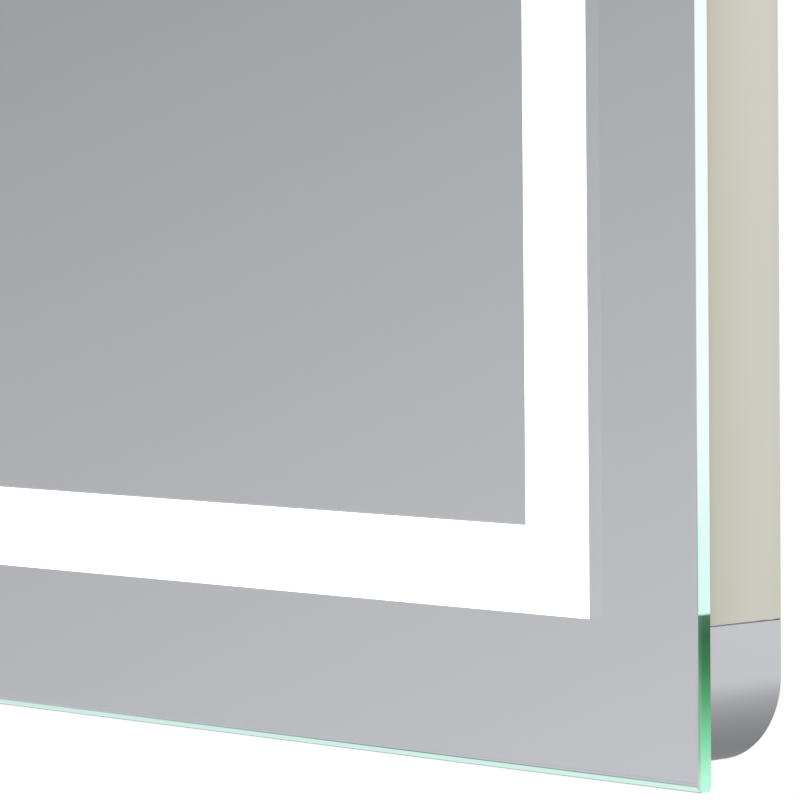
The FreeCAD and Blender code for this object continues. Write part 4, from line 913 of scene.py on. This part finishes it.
def make_world():
    """White to the camera, a soft grey room to mirror and metal, plain light to the rest."""
    world = bpy.data.worlds.new("studio")
    bpy.context.scene.world = world
    world.use_nodes = True
    tree = world.node_tree
    background = tree.nodes["Background"]
    direction = tree.nodes.new("ShaderNodeTexCoord").outputs["Generated"]
    path = tree.nodes.new("ShaderNodeLightPath")
    place = split(tree, direction)
    height = math_node(tree, "MULTIPLY_ADD", place["Z"], 0.5, 0.5, clamp=True)

    across = vector_node(tree, "DOT_PRODUCT", {0: direction, 1: ROOM_ACROSS})["Value"]
    level = math_node(tree, "ADD", math_node(tree, "MULTIPLY_ADD", across, ROOM_CHANGE_ACROSS, ROOM_LEVEL),
                      math_node(tree, "MULTIPLY", place["Z"], ROOM_CHANGE_UP))
    level = math_node(tree, "MAXIMUM", level, ROOM_DARKEST)
    level = math_node(tree, "MINIMUM", level, ROOM_LIGHTEST)
    before_wall = vector_node(tree, "SCALE", {0: ROOM_TINT, "Scale": level})[0]
    behind_wall = toned(tree, height, [
        (0.0, (0.10, 0.10, 0.098, 1)), (0.22, (0.165, 0.165, 0.163, 1)), (0.38, (0.80, 0.80, 0.81, 1)),
        (0.50, (0.90, 0.90, 0.91, 1)), (1.0, (0.95, 0.95, 0.96, 1))])
    side_on = share(tree, place["Y"], -ROOM_BLEND, ROOM_BLEND, "SMOOTHSTEP")
    room = mix_colour(tree, side_on, before_wall, behind_wall)

    plain = toned(tree, height, [
        (0.0, (0.28, 0.28, 0.28, 1)), (0.40, (0.72, 0.72, 0.72, 1)), (0.5, (0.88, 0.88, 0.88, 1)),
        (1.0, (0.95, 0.95, 0.95, 1))])
    shiny = math_node(tree, "MAXIMUM", path.outputs["Is Glossy Ray"], path.outputs["Is Transmission Ray"])
    seen = mix_colour(tree, shiny, plain, room)
    seen = mix_colour(tree, path.outputs["Is Camera Ray"], seen, WHITE)
    tree.links.new(seen, background.inputs["Color"])
    background.inputs["Strength"].default_value = 1.0


def make_floor():
    """A round floor well below the hung mirror: pale to the camera, darker to all else, mostly inwards."""
    bm = bmesh.new()
    bmesh.ops.create_circle(bm, cap_ends=True, radius=FLOOR_RADIUS, segments=128)
    bmesh.ops.transform(bm, matrix=Matrix.Translation((0, 0, glass_low.z - FLOOR_DROP)), verts=bm.verts)
    floor = shown("floor", mesh_of(bm, "floor"))
    material, tree, shader = new_material("pale_floor")
    path = tree.nodes.new("ShaderNodeLightPath")
    coords = tree.nodes.new("ShaderNodeTexCoord")
    out = vector_node(tree, "LENGTH", {0: coords.outputs["Object"]})["Value"]
    unseen = toned(tree, fraction(tree, out, FLOOR_RADIUS), [
        (0.0, (0.075, 0.075, 0.073, 1)), (0.36, (0.09, 0.09, 0.088, 1)), (0.58, (0.33, 0.33, 0.33, 1)),
        (1.0, (0.68, 0.68, 0.68, 1))])
    tone = mix_colour(tree, path.outputs["Is Camera Ray"], unseen, (0.90, 0.90, 0.89, 1))
    tree.links.new(tone, shader.inputs["Base Color"])
    set_sockets(shader, {"Roughness": 0.9, "Specular IOR Level": 0.0})
    floor.data.materials.append(material)


def make_lamp(name, place, target, size, energy):
    """A soft rectangular lamp turned to a target, unseen by the camera and in reflections."""
    lamp = bpy.data.lights.new(name, "AREA")
    lamp.shape = "RECTANGLE"
    lamp.size, lamp.size_y = size
    lamp.energy = energy
    holder = shown(name, lamp)
    holder.location = place
    direction = Vector(target) - Vector(place)
    holder.rotation_euler = direction.to_track_quat("-Z", "Y").to_euler()
    holder.visible_glossy = False
    holder.visible_camera = False


make_world()
make_floor()
make_lamp("key_lamp", (3.0, -2.0, 2.2), (0, 0, -0.3), (2.5, 2.5), 75.0)

# ------------------------------------------------------------------ camera
PICTURE = 800.0                      # width of the picture, in pixels
FOCAL = 4695.3187                    # pixels
CORNER_U, CORNER_V = 700.6554, 793.9226    # where the pane's lower right front corner lies, in pixels
CORNER_DISTANCE = 1276.0283          # how far that corner is along the view, in millimetres
YAW, PITCH, ROLL = 0.8183, 0.0530, 0.0094    # radians
SENSOR = 36.0                        # millimetres


def make_camera():
    """The photograph's view: close on the lower right corner, from the right and a little above it."""
    look = Matrix(((1, 0, 0), (0, 0, -1), (0, 1, 0)))
    cy, sy = math.cos(YAW), math.sin(YAW)
    cp, sp = math.cos(PITCH), math.sin(PITCH)
    cr, sr = math.cos(ROLL), math.sin(ROLL)
    turn = (Matrix(((cr, sr, 0), (-sr, cr, 0), (0, 0, 1))) @ Matrix(((1, 0, 0), (0, cp, -sp), (0, sp, cp)))
            @ look @ Matrix(((cy, sy, 0), (-sy, cy, 0), (0, 0, 1))))
    half = PICTURE / 2
    corner_seen = Vector(((CORNER_U - half) / FOCAL * CORNER_DISTANCE,
                          (CORNER_V - half) / FOCAL * CORNER_DISTANCE, CORNER_DISTANCE))
    corner = Vector((glass_high.x, y_front, glass_low.z))
    place = corner - (turn.transposed() @ corner_seen) * MM
    data = bpy.data.cameras.new("view")
    data.sensor_width = SENSOR
    data.lens = FOCAL / PICTURE * SENSOR
    data.clip_start, data.clip_end = 0.05, 100.0
    camera = shown("view", data)
    right, down, ahead = turn[0], turn[1], turn[2]
    basis = Matrix((right, -down, -ahead)).transposed().to_4x4()
    camera.matrix_world = Matrix.Translation(place) @ basis
    bpy.context.scene.camera = camera


make_camera()
bpy.context.scene.view_settings.view_transform = "Standard"
